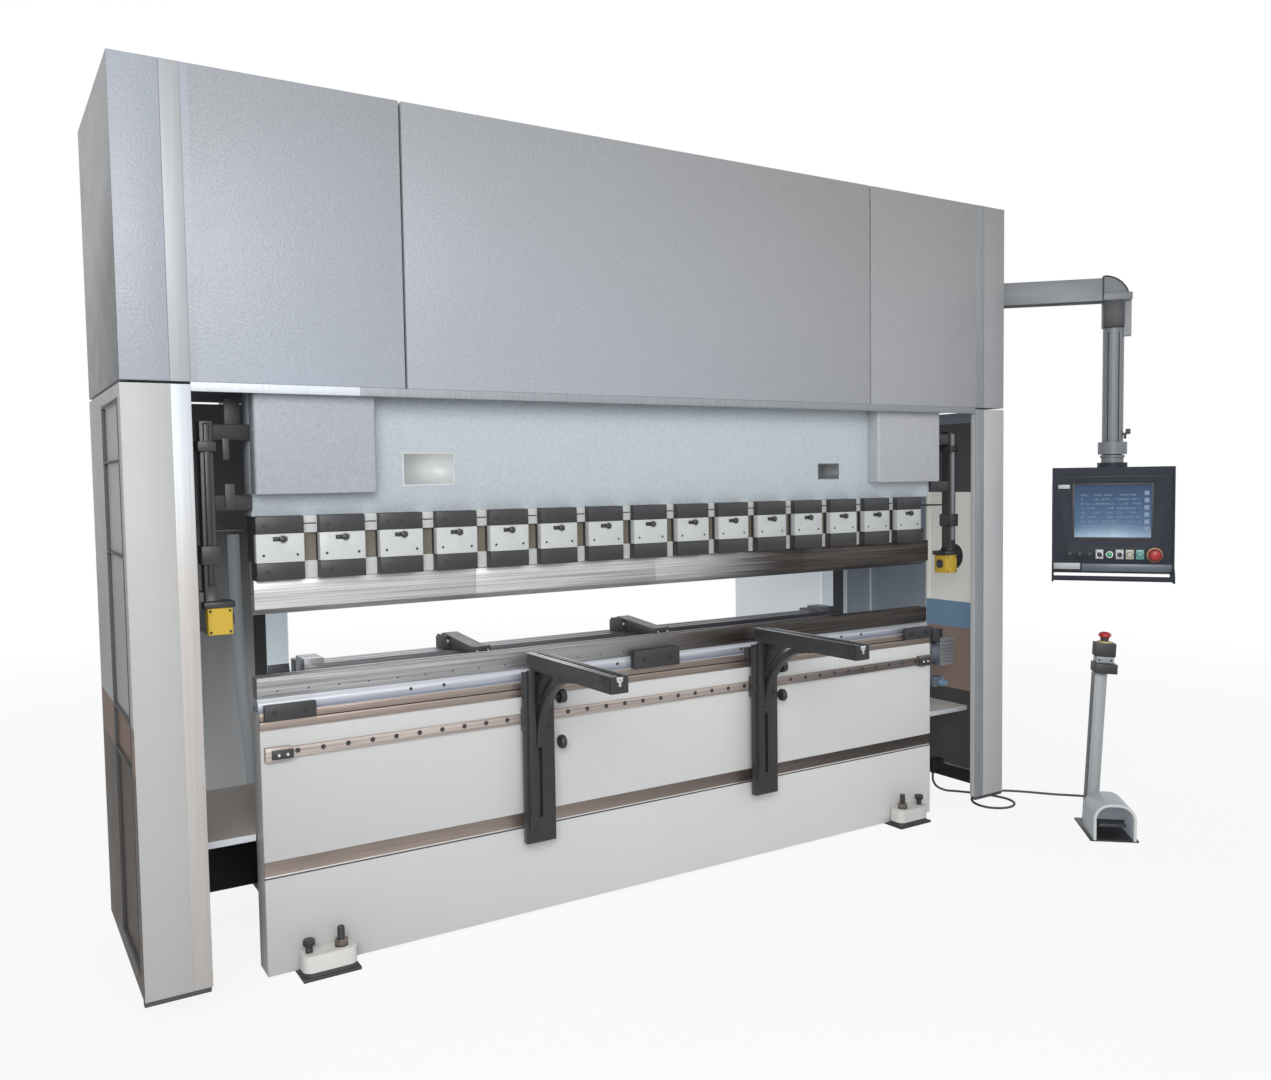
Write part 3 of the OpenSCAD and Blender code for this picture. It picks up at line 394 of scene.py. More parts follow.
def darker_to_right(name, left, right, rough, start=-0.25, end=0.45, metal=0.7):
    """Ground steel that shows a light room on the left, and a dark one on the right."""
    f = ground(name, left, rough)
    streaks = f.noise(5.0, 4.0, (0.35, 30.0, 30.0))
    shown = (f.axes()[0] + (streaks - 0.5) * 0.9).ramp(start, end)
    light = f.mix(streaks.ramp(0.3, 0.7), shade(left, 0.62), shade(left, 1.3))
    dark = f.mix(streaks.ramp(0.35, 0.7), shade(right, 0.7), shade(right, 1.9))
    return f.set(base_color=f.mix(shown, light, dark), metallic=streaks * 0.1 + (metal - 0.05))


HOUSING_Z = 1.9125  # where the housing begins above the columns
finishes["machined_steel"] = ground("ground_steel", (0.52, 0.51, 0.52), 0.36)
punch_steel = darker_to_right("punch_steel", (0.63, 0.625, 0.63), (0.07, 0.06, 0.055), 0.42, 0.15, 0.55)
die_steel = darker_to_right("die_steel", (0.40, 0.39, 0.39), (0.065, 0.055, 0.05), 0.34, -0.35, 0.3)
rail_steel = darker_to_right("rail_steel", (0.54, 0.465, 0.425), (0.13, 0.11, 0.10), 0.45, 0.2, 1.0, 0.5)
finishes["cylinder_steel"] = ground("cylinder_enamel", (0.30, 0.31, 0.33), 0.42, (30.0, 30.0, 1.0))
finishes["gauge_aluminium"] = darker_to_right("gauge_aluminium", (0.34, 0.34, 0.355), (0.07, 0.07, 0.08),
                                              0.36, -0.9, 0.4, 0.6)
holder_steel = Finish("holder_steel")
x, y, z = holder_steel.axes()
streaks = holder_steel.noise(6.0, 3.0, (0.4, 25.0, 25.0))
# Painted highlight: the rounded holder is white-blue on its upper part and dark blue below it.
upper = (z + (streaks - 0.5) * 0.03).ramp(0.874, 0.902)
holder_steel.set(base_color=holder_steel.mix(upper, (0.30, 0.32, 0.40), (0.66, 0.69, 0.74)),
                 metallic=streaks * 0.2 + 0.45, roughness=streaks * 0.2 + 0.28)
strip, mix, noise, x, y, z = begun("polished_steel", "polished_strip")
streaks = noise(5.0, 3.0, (30.0, 30.0, 0.6))
low_tone, high_tone, warm, dim = (mix(streaks, *pair) for pair in (
    ((0.50, 0.54, 0.58), (0.66, 0.69, 0.72)), ((0.37, 0.385, 0.40), (0.45, 0.465, 0.48)),
    ((0.45, 0.425, 0.405), (0.58, 0.55, 0.525)), ((0.24, 0.26, 0.28), (0.44, 0.46, 0.49))))
cool = mix(z > HOUSING_Z, low_tone, high_tone)
left_strip = mix((z + streaks * 0.3).ramp(1.45, 1.85), warm, cool)
strip.set(base_color=mix(x > 1.2, mix(x < -1.2, dim, left_strip), dim),
          metallic=streaks * 0.1 + 0.12, roughness=streaks * 0.15 + 0.38)
strip.lit(gloss=0.18)
bright = ground("bright_steel", (0.74, 0.74, 0.76), 0.26, (10.0, 10.0, 10.0))
print("metals ready")

# %% [markdown]
# ## Finishes that change from place to place
# Some pieces carry two finishes. The table is painted, with machined bands near its top
# and across its middle. The feet stand on dark plates. The side windows are smoked sheets
# that show bands of what lies behind them. A mask from the object's own coordinates
# picks which finish shows. The studio's floor turns nearly white for the camera in the
# same way, and keeps a soft shadow.

# %% Masked finishes
BARE = (0.30, 0.245, 0.215)
table, mix, noise, x, y, z = begun("table_paint", "table_enamel")
band = (z.between(0.8165, 0.8708) + z.between(0.3335, 0.3855)) * (y < BEND_Y - 0.047)
seam = (z.between(0.8430, 0.8470) + z.between(0.3290, 0.3335)) * (y < BEND_Y - 0.045)
# Painted highlight: a bright line along the bottom edge of the lower band.
edge_highlight = z.between(0.3335, 0.3375) * (y < BEND_Y - 0.045)
# Painted light: the table's paint is lighter towards the right.
painted = mix(x.ramp(-1.5, 1.5), (0.56, 0.56, 0.555), (0.93, 0.93, 0.915))
painted = mix(noise(2.2, 3.0) * 0.12, painted, (0.45, 0.44, 0.42))
streaks = noise(6.0, 4.0, (1.0, 30.0, 30.0))
bare = mix(streaks, shade(BARE, 0.75), shade(BARE, 1.5))
# Painted shade: the lower bare band darkens towards the right.
shade_to_right = (x + (streaks - 0.5) * 1.2).ramp(-0.6, 1.1) * (z < 0.5) * 0.85
bare = mix(shade_to_right, bare, (0.055, 0.05, 0.047))
bare = mix(edge_highlight, bare, (0.72, 0.71, 0.70))
table.set(base_color=mix(seam, mix(band, painted, bare), (0.05, 0.045, 0.04)),
          metallic=band * 0.75, roughness=0.44 - band * 0.10 + streaks * 0.05)

foot, mix, noise, x, y, z = begun("foot_paint", "foot_enamel")
cast = mix(noise(14.0), (0.66, 0.65, 0.62), (0.76, 0.75, 0.72))
foot.set(base_color=mix(z < 0.024, cast, (0.05, 0.05, 0.05)),
         roughness=0.5 - noise(30.0) * 0.1, normal=foot.bump(noise(120.0, 3.0), 0.0008, 0.4))

wedge = Finish("wedge_enamel", metallic=0.0)
brass = wedge.mix(wedge.noise(30.0), (0.13, 0.115, 0.085), (0.22, 0.20, 0.155))
wedge.set(base_color=wedge.mix(wedge.axes()[2].between(1.357, 1.448), (0.60, 0.61, 0.60), brass),
          roughness=0.42 + wedge.noise(40.0) * 0.12)
plate = enamel("clamp_plate_enamel", (0.60, 0.62, 0.615), 0.36)
finishes["clamp_white"] = plate


def mirrored_room(f, z):
    """What the left side reflects: pale above, a brown band, dark below."""
    low = f.mix(z < 0.753, (0.20, 0.125, 0.085), (0.075, 0.053, 0.040))
    return f.mix(z < 0.896, f.mix(f.noise(1.4), (0.35, 0.355, 0.36), (0.50, 0.50, 0.495)), low)


SHELF_LOW, SHELF_TOP = 0.4385, 0.4635
column, mix, noise, x, y, z = begun("cover_white", "column_enamel")
inside = (x.size() < 1.8756) * y.between(BEND_Y - 0.128, BEND_Y + 0.679)
shelf = z.between(SHELF_LOW, SHELF_TOP)
# Painted light: the right cover is painted lighter than the left.
outside = mix(x > 0, (0.47, 0.475, 0.47), (0.58, 0.585, 0.59))
outside = mix(noise(2.3, 3.0) * 0.12, outside, (0.36, 0.36, 0.36))
outside = mix(x < -SIDE_X, outside, mirrored_room(column, z))
cloudy = noise(3.0, 2.0, (6.0, 1.0, 0.5))
# Painted light and shade inside the bays: the left bay darkens towards the top, below the shelves it is dark, and
# the left shelf is darker than the right.
left_bay_shade = mix((z - cloudy * 0.2).ramp(1.36, 0.42), (0.085, 0.085, 0.088), (0.46, 0.475, 0.49))
walls = mix(x > 0, left_bay_shade, mix(cloudy, (0.17, 0.20, 0.24), (0.27, 0.31, 0.36)))
back_wall = (x > 0) * (y > BEND_Y + 0.60)
walls = mix(back_wall * x.between(1.500, 1.634), walls, (0.045, 0.045, 0.048))
walls = mix(back_wall * (x.between(1.634, 1.662) + x.between(1.824, 1.838)), walls, (0.50, 0.55, 0.59))
walls = mix(z < SHELF_LOW, walls, (0.03, 0.03, 0.032))
walls = mix(shelf, walls, mix(x > 0, (0.30, 0.275, 0.255), (0.50, 0.48, 0.455)))
walls = mix(shelf * (y < BEND_Y + 0.0286), walls, (0.56, 0.58, 0.61))
# Painted light: inside the bays, the faces above the shelves glow a little.
column.set(base_color=mix(inside, outside, walls), roughness=noise(9.0) * 0.16 + 0.37,
           emission_color=mix(inside * (z > SHELF_LOW), (0, 0, 0), walls),
           normal=column.bump(noise(420.0, 1.0), 0.00012, 0.25))
column.lit(glow=0.2)

plates, mix, noise, x, y, z = begun("frame_paint", "frame_enamel")
throat = (y - (BEND_Y + 0.450)).size().between(-1, 0.003) * z.between(0.865, 1.645)
inner_face = (x.size() - 1.300).size() < 0.003
rough_side = mix(noise(3.0), (0.06, 0.062, 0.067), (0.085, 0.09, 0.10))
pale_side = mix(noise(2.0), (0.64, 0.68, 0.71), (0.70, 0.74, 0.77))
shown = mix(inner_face, mix(throat, rough_side, (0.36, 0.41, 0.44)), pale_side)
# Painted light: the throat edge and the pale inner faces glow, since they lie in shade.
plates.set(base_color=shown, roughness=noise(9.0) * 0.16 + 0.42,
           emission_color=mix(throat + inner_face * 0.55, (0, 0, 0), shown))
plates.lit(glow=0.7)

pane, mix, noise, x, y, z = begun("window_sheet", "window_sheet")
deep = mix(z < 0.531, (0.19, 0.14, 0.12), (0.05, 0.05, 0.05))
tall = mix(z < 0.972, (0.58, 0.575, 0.54), mix(z < 0.842, (0.12, 0.19, 0.27), deep))
right_look = mix(z > 1.517, tall, (0.06, 0.06, 0.062))
# Painted light: the right sheets glow with painted bands of the room behind them.
pane.set(base_color=mix(x > 0, mirrored_room(pane, z), right_look), roughness=noise(1.4) * 0.08 + 0.40,
         emission_color=mix(x > 0, (0, 0, 0), right_look))
pane.lit(gloss=0.15, glow=0.45)

guard, mix, noise, x, y, z = begun("guard_black", "guard_parts")
head = (z < 1.2252) * x.size().between(1.5985, 1.6755)
# Painted light: the right post's front is a lighter grey than the left post's.
right_post_light = (y < BEND_Y - 0.0705) * (z > 1.2952) * (x > 0)
dark = mix(noise(40.0), (0.022, 0.022, 0.024), (0.045, 0.046, 0.05))
amber = mix(noise(30.0), (0.60, 0.40, 0.035), (0.70, 0.48, 0.06))
guard.set(base_color=mix(head, mix(right_post_light, dark, (0.24, 0.26, 0.28)), amber),
          roughness=0.42 - noise(60.0) * 0.1)

drive, mix, noise, x, y, z = begun("drive_grey", "drive_enamel")
hatch = (x + z).wave(0.011) * (z - x - y).wave(0.011)
ribbed = mix(hatch.ramp(0.1, 0.5), (0.16, 0.165, 0.17), (0.50, 0.51, 0.53))
box = mix(z > 0.812, (0.13, 0.145, 0.175), (0.04, 0.04, 0.043))
drive.set(base_color=mix((x > 1.5985) * (z < 0.8302), box, ribbed), roughness=noise(40.0) * 0.2 + 0.35)
print("masked finishes ready")

# %% [markdown]
# ## The lit screen
# The pendant's screen shows a blue page. No words are drawn: rows of plain dashes, a
# column of tiles and a bright foot say enough. The distance across the screen is worked
# out from the object's X and Y, since the pendant hangs turned by 54 degrees.

# %% The screen
TURN = math.radians(54)
ARM_L = 581
TUBE = at(1990 + ARM_L * math.cos(math.pi / 4), 15 - ARM_L * math.sin(math.pi / 4), 0)
PENDANT = Matrix.Translation(TUBE) @ Matrix.Rotation(-TURN, 4, "Z")
screen, mix, noise, x, y, z = begun("screen_glass", "screen_glass")
across = (x - TUBE.x) * math.cos(TURN) - (y - TUBE.y) * math.sin(TURN)
rows = (z.wave(0.021) > 0.62) * (across.wave(0.0105) > 0.4) * (noise(38.0) > 0.47)
field = across.between(-0.140, 0.125) * z.between(1.345, 1.500) * rows
tiles = across.between(0.138, 0.158) * (z.wave(0.034) > 0.35) * z.between(1.330, 1.520)
glow = (z + across.size() * 0.16 + (noise(14.0) - 0.5) * 0.03).ramp(1.400, 1.300)
page = mix(z.ramp(1.54, 1.38), (0.030, 0.065, 0.14), (0.09, 0.16, 0.29))
page = mix(glow * glow, page, (0.50, 0.66, 0.80))
page = mix(field, page, (0.20, 0.28, 0.40))
page = mix(tiles, page, (0.26, 0.35, 0.47))
screen.set(base_color=(0.01, 0.015, 0.02), emission_color=page, roughness=noise(3.0) * 0.06 + 0.12)
screen.lit(gloss=0.2, glow=0.85)

boom, mix, noise, x, y, z = begun("boom_paint", "boom_enamel")
off_x, off_y = x - TUBE.x, y - TUBE.y
groove = (off_x * off_x + off_y * off_y < 0.0462 ** 2) * z.between(1.72, 2.30)
paint = mix(noise(7.0, 3.0), (0.21, 0.225, 0.24), (0.255, 0.27, 0.29))
boom.set(base_color=mix(groove, paint, (0.06, 0.065, 0.07)), roughness=noise(9.0) * 0.16 + 0.32,
         normal=boom.bump(noise(420.0, 1.0), 0.00012, 0.25))

studio = Finish("studio_floor", roughness=0.9)
studio.set(base_color=studio.mix(studio.noise(0.5), (0.86, 0.86, 0.86), (0.88, 0.88, 0.88)))
glow = studio.node("ShaderNodeEmission", inputs={"Color": (1, 1, 1, 1), "Strength": 1.0})
ray = studio.node("ShaderNodeLightPath", out="Is Camera Ray")
x, y, z = studio.axes()
far = (x * x + y * y).ramp(9, 60)
matt = Wire(studio.tree, studio.shader.outputs[0])
both = ray.into("ShaderNodeMixShader", {}, {0: ray * (far * 0.12 + 0.88), 1: matt, 2: glow})
studio.tree.links.new(both.socket, studio.tree.nodes["Material Output"].inputs[0])
floor.data.materials.append(studio.material)
print(len(finishes), "finishes in all")

# %% [markdown]
# ## Rounding the CAD pieces
# A CAD solid has knife edges, and a real plate never does: its broken edges catch thin
# lines of light. Each CAD node arrives as loose triangles, so a copy is welded and its
# flat faces are joined before a Bevel modifier rounds it. The copy then stands for the
# node.


# %% Weld, bevel and paint each node
def only(piece):
    bpy.ops.object.select_all(action="DESELECT")
    piece.select_set(True)
    bpy.context.view_layer.objects.active = piece


def bevelled(piece, width):
    only(piece)
    edge = piece.modifiers.new("edges", "BEVEL")
    edge.width, edge.segments = width, 2
    edge.limit_method, edge.angle_limit = "ANGLE", math.radians(32)
    bpy.ops.object.modifier_apply(modifier="edges")
    bpy.ops.object.shade_smooth_by_angle(angle=math.radians(32))
    return piece


def painted_with(piece, finish):
    piece.data.materials.clear()
    piece.data.materials.append(finish.material)


def dressed(node, width, finish=None):
    piece = linked(node + "_dressed", NODES[node].data.copy())
    only(piece)
    bpy.ops.object.mode_set(mode="EDIT")
    bpy.ops.mesh.select_all(action="SELECT")
    bpy.ops.mesh.remove_doubles(threshold=0.00002)
    bpy.ops.mesh.dissolve_limited(angle_limit=math.radians(1))
    bpy.ops.object.mode_set(mode="OBJECT")
    bevelled(piece, width)
    painted_with(piece, finish or finishes[SLOTS[node]])
    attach(piece, BODIES[node])
    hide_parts(node)
    return piece


BEVELS = {
    0.0040: ["ram_covers", "pendant_box", "light_guards"],
    0.0025: ["upper_front_panels", "upper_side_panels", "top_cover", "upper_rear_panels", "left_column_cover",
             "right_column_cover", "front_feet", "rear_feet", "boom_arm", "oil_tank", "pump_motor",
             "console_post", "console_head", "foot_pedal"],
    0.0015: ["ram_beam", "table_beam", "clamp_bars", "clamp_plates", "clamp_jaws", "tool_wedges",
             "die_clamp_blocks", "left_support", "right_support", "gauge_carriage", "left_finger",
             "right_finger", "support_rail", "crowning_drive", "boom_bracket", "pedal_hood", "console_base",
             "left_side_frame", "right_side_frame", "cross_beams", "cylinders", "gauge_rails"],
    0.0008: ["punch", "lower_die", "die_holder", "column_strips", "lower_front_strip", "gauge_beam"],
}
hood = enamel("hood_enamel", (0.40, 0.425, 0.44), 0.40)
# Painted light: the hood glows a little blue-grey, as its inside lies in shade.
hood.set(emission_color=(0.20, 0.23, 0.26)).lit(glow=0.35)
SPECIAL = {"tool_wedges": wedge, "punch": punch_steel, "lower_die": die_steel, "support_rail": rail_steel,
           "die_holder": holder_steel, "ram_beam": ram_paints[0], "ram_covers": ram_paints[1], "pedal_hood": hood}
for node in NODES:
    painted_with(NODES[node], finishes[SLOTS[node]])
for width, names in BEVELS.items():
    for node in names:
        dressed(node, width, SPECIAL.get(node))
painted_with(cable, finishes["cable_rubber"])
print(sum(len(names) for names in BEVELS.values()), "nodes rounded")

# %% [markdown]
# ## Tools for small parts
# Screws, knobs and caps are turned on a lathe, so they are made here by spinning a
# profile. Brackets start as a block whose edges are rounded. A part that repeats is
# modelled once and copied to its places, and the copies are joined to one piece.

# %% The lathe, the block and the copies
FRONT = Matrix.Rotation(math.radians(90), 4, "X")
RIGHT = Matrix.Rotation(math.radians(90), 4, "Y")
LEFT = Matrix.Rotation(math.radians(-90), 4, "Y")
UP = Matrix.Identity(4)
TO_BEND = Matrix.Translation((0, BEND_Y, 0))
BLACK, PLASTIC = ((finishes[slot], slot) for slot in ("clamp_black", "console_black"))
BRIGHT, WHITE = (bright, "machined_steel"), (plate, "clamp_white")


def turned(name, profile, steps=24):
    """Spins a profile of (radius, height) in millimetres round the Z axis."""
    edges = [(i, i + 1) for i in range(len(profile) - 1)]
    piece = meshed(name, [(r / 1000, 0, h / 1000) for r, h in profile], edges, [])
    only(piece)
    bpy.ops.object.mode_set(mode="EDIT")
    bpy.ops.mesh.select_all(action="SELECT")
    bpy.ops.mesh.spin(steps=steps, angle=2 * math.pi, center=(0, 0, 0), axis=(0, 0, 1))
    bpy.ops.mesh.select_all(action="SELECT")
    bpy.ops.mesh.remove_doubles(threshold=0.000004)
    bpy.ops.mesh.normals_make_consistent(inside=False)
    bpy.ops.object.mode_set(mode="OBJECT")
    bpy.ops.object.shade_smooth_by_angle(angle=math.radians(40))
    return piece


def block(name, low, high, edge=1.0):
    """A block between two corners in millimetres, with rounded edges."""
    low, high = Vector(low) / 1000, Vector(high) / 1000
    bpy.ops.object.select_all(action="DESELECT")
    bpy.ops.mesh.primitive_cube_add(size=1, location=(low + high) / 2)
    piece = bpy.context.object
    piece.name = name
    piece.scale = high - low
    bpy.ops.object.transform_apply(location=True, rotation=True, scale=True)
    return bevelled(piece, edge / 1000)


def sunk(piece, facing, inset, depth):
    """Insets the faces that look one way, and pushes their middles in."""
    only(piece)
    largest = max(p.area for p in piece.data.polygons if p.normal.dot(facing) > 0.99)
    for part in (piece.data.vertices, piece.data.edges):
        part.foreach_set("select", [False] * len(part))
    for p in piece.data.polygons:
        p.select = p.normal.dot(facing) > 0.99 and p.area > largest * 0.5
    bpy.ops.object.mode_set(mode="EDIT")
    bpy.ops.mesh.select_mode(type="FACE")
    bpy.ops.mesh.inset(thickness=inset / 1000, depth=0)
    bpy.ops.mesh.extrude_region_move(TRANSFORM_OT_translate={"value": -facing * depth / 1000})
    bpy.ops.object.mode_set(mode="OBJECT")
    return piece


def joined(name, pieces):
    bpy.ops.object.select_all(action="DESELECT")
    for piece in pieces:
        piece.select_set(True)
    bpy.context.view_layer.objects.active = pieces[0]
    if len(pieces) > 1:
        bpy.ops.object.join()
    pieces[0].name = name
    return pieces[0]


def moved(piece, place=TO_BEND):
    piece.data.transform(place)
    return piece


def blocks(name, rows, place=TO_BEND):
    """One piece from blocks that are given as rows of (low, high, edge), moved to its place."""
    return moved(joined(name, [block(name, *row) for row in rows]), place)


def copies(name, model, places):
    """The model at each of the given matrices, each with its own mesh, joined. The model goes."""
    made = [moved(linked(name, model.data.copy()), place) for place in places]
    bpy.data.objects.remove(model)
    return joined(name, made)


def fitted(piece, body, finish, slot):
    painted_with(piece, finish)
    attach(piece, body)
    print(piece.name, "rides on", body, "with", len(piece.data.polygons), "faces")
    return piece


def blackened(name, model, places, body="frame"):
    """Copies of a part in dark steel."""
    return fitted(copies(name, model, places), body, *BLACK)


def here(x, y, z, turn=UP):
    return Matrix.Translation(at(x, y, z)) @ turn


def cap_screw(r, h):
    """A socket-head screw of a radius and a height, its seat at height 0."""
    return turned("screw", [(0, -1), (r, -1), (r, h - 1), (r - 1, h), (r * 0.55, h), (r * 0.5, h * 0.35),
                            (0, h * 0.35)], 18)


# %% [markdown]
# ## Bolts on the feet
# Each foot has a jack bolt, which levels the machine, and an anchor stud with its nut.
# The threads are rings in the turned profile: at this size nobody can tell them from a
# true helix.

# %% Jack bolts and anchor studs
FOOT_TOP, FOOT_YS = 80, (-97, 1195)
ANCHOR_X, JACK_X = 1298, 1404
PITCH = 3.0
sides = (-1, 1)


def thread(radius, low, high):
    rings = int((high - low) / PITCH)
    return [(radius - (1.1 if i % 2 else 0), low + i * PITCH / 2) for i in range(2 * rings)]


def hexed(name, across_flats, low, high):
    r = across_flats / math.sqrt(3)
    return turned(name, [(0, low), (r - 1.5, low), (r, low + 1.5), (r, high - 1.5), (r - 1.5, high),
                         (0, high)], 6)


def on_feet(x):
    return [here(s * x, y, FOOT_TOP) for s in sides for y in FOOT_YS]


jack = joined("jack", [
    turned("shank", [(0, -4)] + thread(12, -4, 26) + [(12, 27), (0, 27)]),
    turned("washer", [(0, 25), (19, 25), (20, 27), (20, 30), (17, 32), (0, 32)]), hexed("hexagon", 34, 31, 44)])
stud = joined("stud", [
    turned("shank", [(0, -30)] + thread(12, -30, 63) + [(10, 64), (0, 64)]),
    turned("washer", [(0, -1), (22, -1), (22, 3), (0, 3)])])
bronzed = ground("bronzed_steel", (0.26, 0.22, 0.20), 0.34, (20.0, 20.0, 20.0))
fitted(copies("stud_nuts", hexed("hexagon", 38, 2, 23), on_feet(ANCHOR_X)), "frame", bronzed, "clamp_black")
blackened("jack_bolts", jack, on_feet(JACK_X))
blackened("anchor_studs", stud, on_feet(ANCHOR_X))

# %% [markdown]
# ## Screws along the table
# The rail for the sheet supports is held by screws in counterbores, 83 mm apart. The die
# has small pin holes, and its clamp blocks two screws each. A fifth clamp block sits in
# the middle of the table. A dark stop closes each end of the rail.

# %% Rail screws, die pins and stops
HALF_L = 1525
RAIL_Z, STOP_X = 742, 1462
rail_screw = turned("rail_screw", [(0, 0.1), (4.5, 0.1), (5.5, 0.7), (8.2, 0.7), (8.8, -0.4)], 20)
blackened("rail_screws", rail_screw, [here(-1411 + 83 * i, -66, RAIL_Z, FRONT) for i in range(35)])
pin = turned("die_pin", [(0, 0.5), (2.6, 0.5), (3.2, 0), (3.2, -1)], 12)
blackened("die_pins", pin, [here(-1461 + 101 * i, -30, 936, FRONT) for i in range(29)])
spots = (-1013, -892, -300, -180, 420, 540, 980, 1100)
blackened("holder_screws", cap_screw(6.0, 1.6), [here(x, -38, 893, FRONT) for x in spots])
centres = (-HALF_L + 94.5, -HALF_L / 3, HALF_L / 3, HALF_L - 94.5)
places = [here(x + d, -72, 872, FRONT) for x in centres for d in (-50, 50)]
blackened("clamp_block_screws", cap_screw(8, 7), places)
rows = [((-121, -72, 868), (89, -51.5, 940), 2), ((-121, -60, 873), (89, -38.5, 940), 2)]
fitted(blocks("middle_clamp_block", rows), "frame", *BLACK)
blackened("middle_block_screws", cap_screw(8, 7), [here(x, -72, 904, FRONT) for x in (-76, 44)])
stop = block("stop", (-34, -12, -15), (34, 0, 15), 3)
blackened("rail_stops", stop, [here(s * STOP_X, -73, RAIL_Z - 3) for s in sides])
places = [here(s * STOP_X + d, -85, RAIL_Z - 3, FRONT) for s in sides for d in (-14, 14)]
fitted(copies("rail_stop_screws", cap_screw(5, 4), places), "frame", *BRIGHT)

# %% [markdown]
# ## Clamp levers and screws
# Each of the fifteen punch clamps has a dark bar, a white plate with a short lever in a
# slot, and a dark jaw. The lever ends in a round knob. Faint screws hold the bar, the
# jaw and the plate.

# %% Dress the clamps
CLAMPS = [-HALF_L + 200 * i for i in range(15)]
LEVER_Z = 1431


def on_clamps(offsets, z, turn=FRONT):
    return [here(x + d, -90, z, turn) for x in CLAMPS for d in offsets]


knob = turned("knob", [(0, -8), (7, -8), (7, 2), (10.5, 3), (11.5, 6), (10.5, 11), (7, 13), (0, 13.5)], 20)
blackened("clamp_knobs", knob, on_clamps([82], LEVER_Z), "ram")
tongue = block("tongue", (-21, -2, -4.5), (0, 8, 4.5), 1.5)
blackened("clamp_levers", tongue, on_clamps([76], LEVER_Z, UP), "ram")
for name, radius, height, offsets, level in (("clamp_bar_screws", 7.5, 1.6, (28, 75, 122), 1474),
                                             ("clamp_jaw_screws", 7.5, 1.6, (35, 115), 1327),
                                             ("clamp_plate_screws", 4.5, 1.2, (22, 128), 1380)):
    blackened(name, cap_screw(radius, height), on_clamps(offsets, level), "ram")
slit = block("slit", (3, -1.2, -2), (47, 3, 2), 0.6)
blackened("wedge_slits", slit, [here(x + 150, -62, 1478) for x in CLAMPS[:-1]], "ram")

# %% [markdown]
# ## Seals, trims and plates of the housing
# Rubber seals close the columns at the floor and frame the side windows, whose sheets
# are held by dark cross bars. Two bare plates sit on the ram between its covers.

# %% Seals and trims
rows = [((low, -158, 58), (low + 189, -132, 78), 2) for low in (-1905, 1716)]
for low, high in ((-1907, -1893), (1893, 1907)):
    rows += [((low, -92, z_bar - 3), (high, 302, z_bar + 3), 1) for z_bar in (1682, 1396, 896, 753)]
    rows += [((low, y_bar - 5, 132), (high, y_bar + 5, 1868), 2) for y_bar in (-96, 302)]
    rows += [((low, -98, z_bar - 5), (high, 304, z_bar + 5), 2) for z_bar in (136, 1860)]
fitted(blocks("window_trims", rows), "frame", enamel("trim_rubber", (0.075, 0.076, 0.078), 0.6), "console_black")
dark_enamel = enamel("badge_enamel", (0.14, 0.145, 0.15))
for name, low, high, inset, finish in (("pale_badge", (-1026, -47.5, 1592), (-834, -44.5, 1708), 5, plate),
                                       ("dark_badge", (842, -47.5, 1592), (962, -44.5, 1660), 4, dark_enamel)):
    badge = moved(sunk(block(name, low, high), Vector((0, -1, 0)), inset, 0.5))
    fitted(badge, "ram", finish, "clamp_white")
places = [here(s * x, -114, z, FRONT) for s in sides for x in (1160, 1500) for z in (1600, 1860, 2110)]
fitted(copies("ram_cover_screws", cap_screw(5, 2), places), "ram", ram_paints[1], "housing_paint")

# %% [markdown]
# ## Guards, drive and brackets at the ends
# A light guard hangs from each end of the ram: a dark post with a slot, and a yellow
# optical head with a dark lens. By the right one sits the crowning drive with its blue
# plug. Each column keeps two ring bolts, and a round edge stands in the left bay.

# %% Ends of the machine
lens_ring = turned("lens", [(0, 3), (12, 3), (15, 6), (19, 6), (20, 4), (20, -2)], 28)
places = [here(1598, -46, 1185, LEFT), here(-1598, -46, 1185, RIGHT)]
fitted(copies("guard_lenses", lens_ring, places), "ram", *PLASTIC)
places = [here(s * x, -82, z, FRONT) for s in sides for x in (1608, 1666) for z in (1150, 1216)]
blackened("guard_screws", cap_screw(4, 2.5), places, "ram")
rows = [((s * 1658 - 27, -80, low), (s * 1658 + 27, -12, high), 3)
        for s in sides for low, high in ((1708, 1740), (1360, 1418))]
rows += [((s * 1600 - 55, -18, 1458), (s * 1600 + 55, 62, 1464), 1) for s in sides]
fitted(blocks("guard_collars", rows), "ram", *BLACK)
rows = [((-1609, -64, 1684), (-1590, -60.5, 1750), 1), ((-1606, -64, 1530), (-1577, -60.5, 1608), 1),
        ((-1592, -17, 1778), (-1545, -11, 1878), 2)]
fitted(blocks("guard_sheets", rows), "ram", finishes["drive_grey"], "machined_steel")
plug_body = joined("drive_plug", [
    turned("collar", [(0, 0), (16, 0), (18, 3), (18, 22), (15, 25), (0, 25)], 20),
    turned("nut", [(0, 24), (13, 24), (13, 40), (11, 43), (0, 43)], 12)])
blue = enamel("plug_plastic", (0.16, 0.25, 0.36), 0.4)
fitted(copies("drive_plug", plug_body, [here(1577, -62, 628, FRONT)]), "frame", blue, "drive_grey")
ring_bolt = joined("ring_bolt", [
    turned("boss", [(0, 0), (26, 0), (30, 4), (30, 10), (24, 14), (18, 14), (16, 8), (0, 8)], 28),
    turned("grip", [(0, 7), (9, 7), (10, 20), (7, 24), (0, 24)], 20)])
places = [here(s * 1875, 420, z, LEFT if s > 0 else RIGHT) for s in sides for z in (1500, 1290)]
fitted(copies("column_ring_bolts", ring_bolt, places), "frame", *BRIGHT)

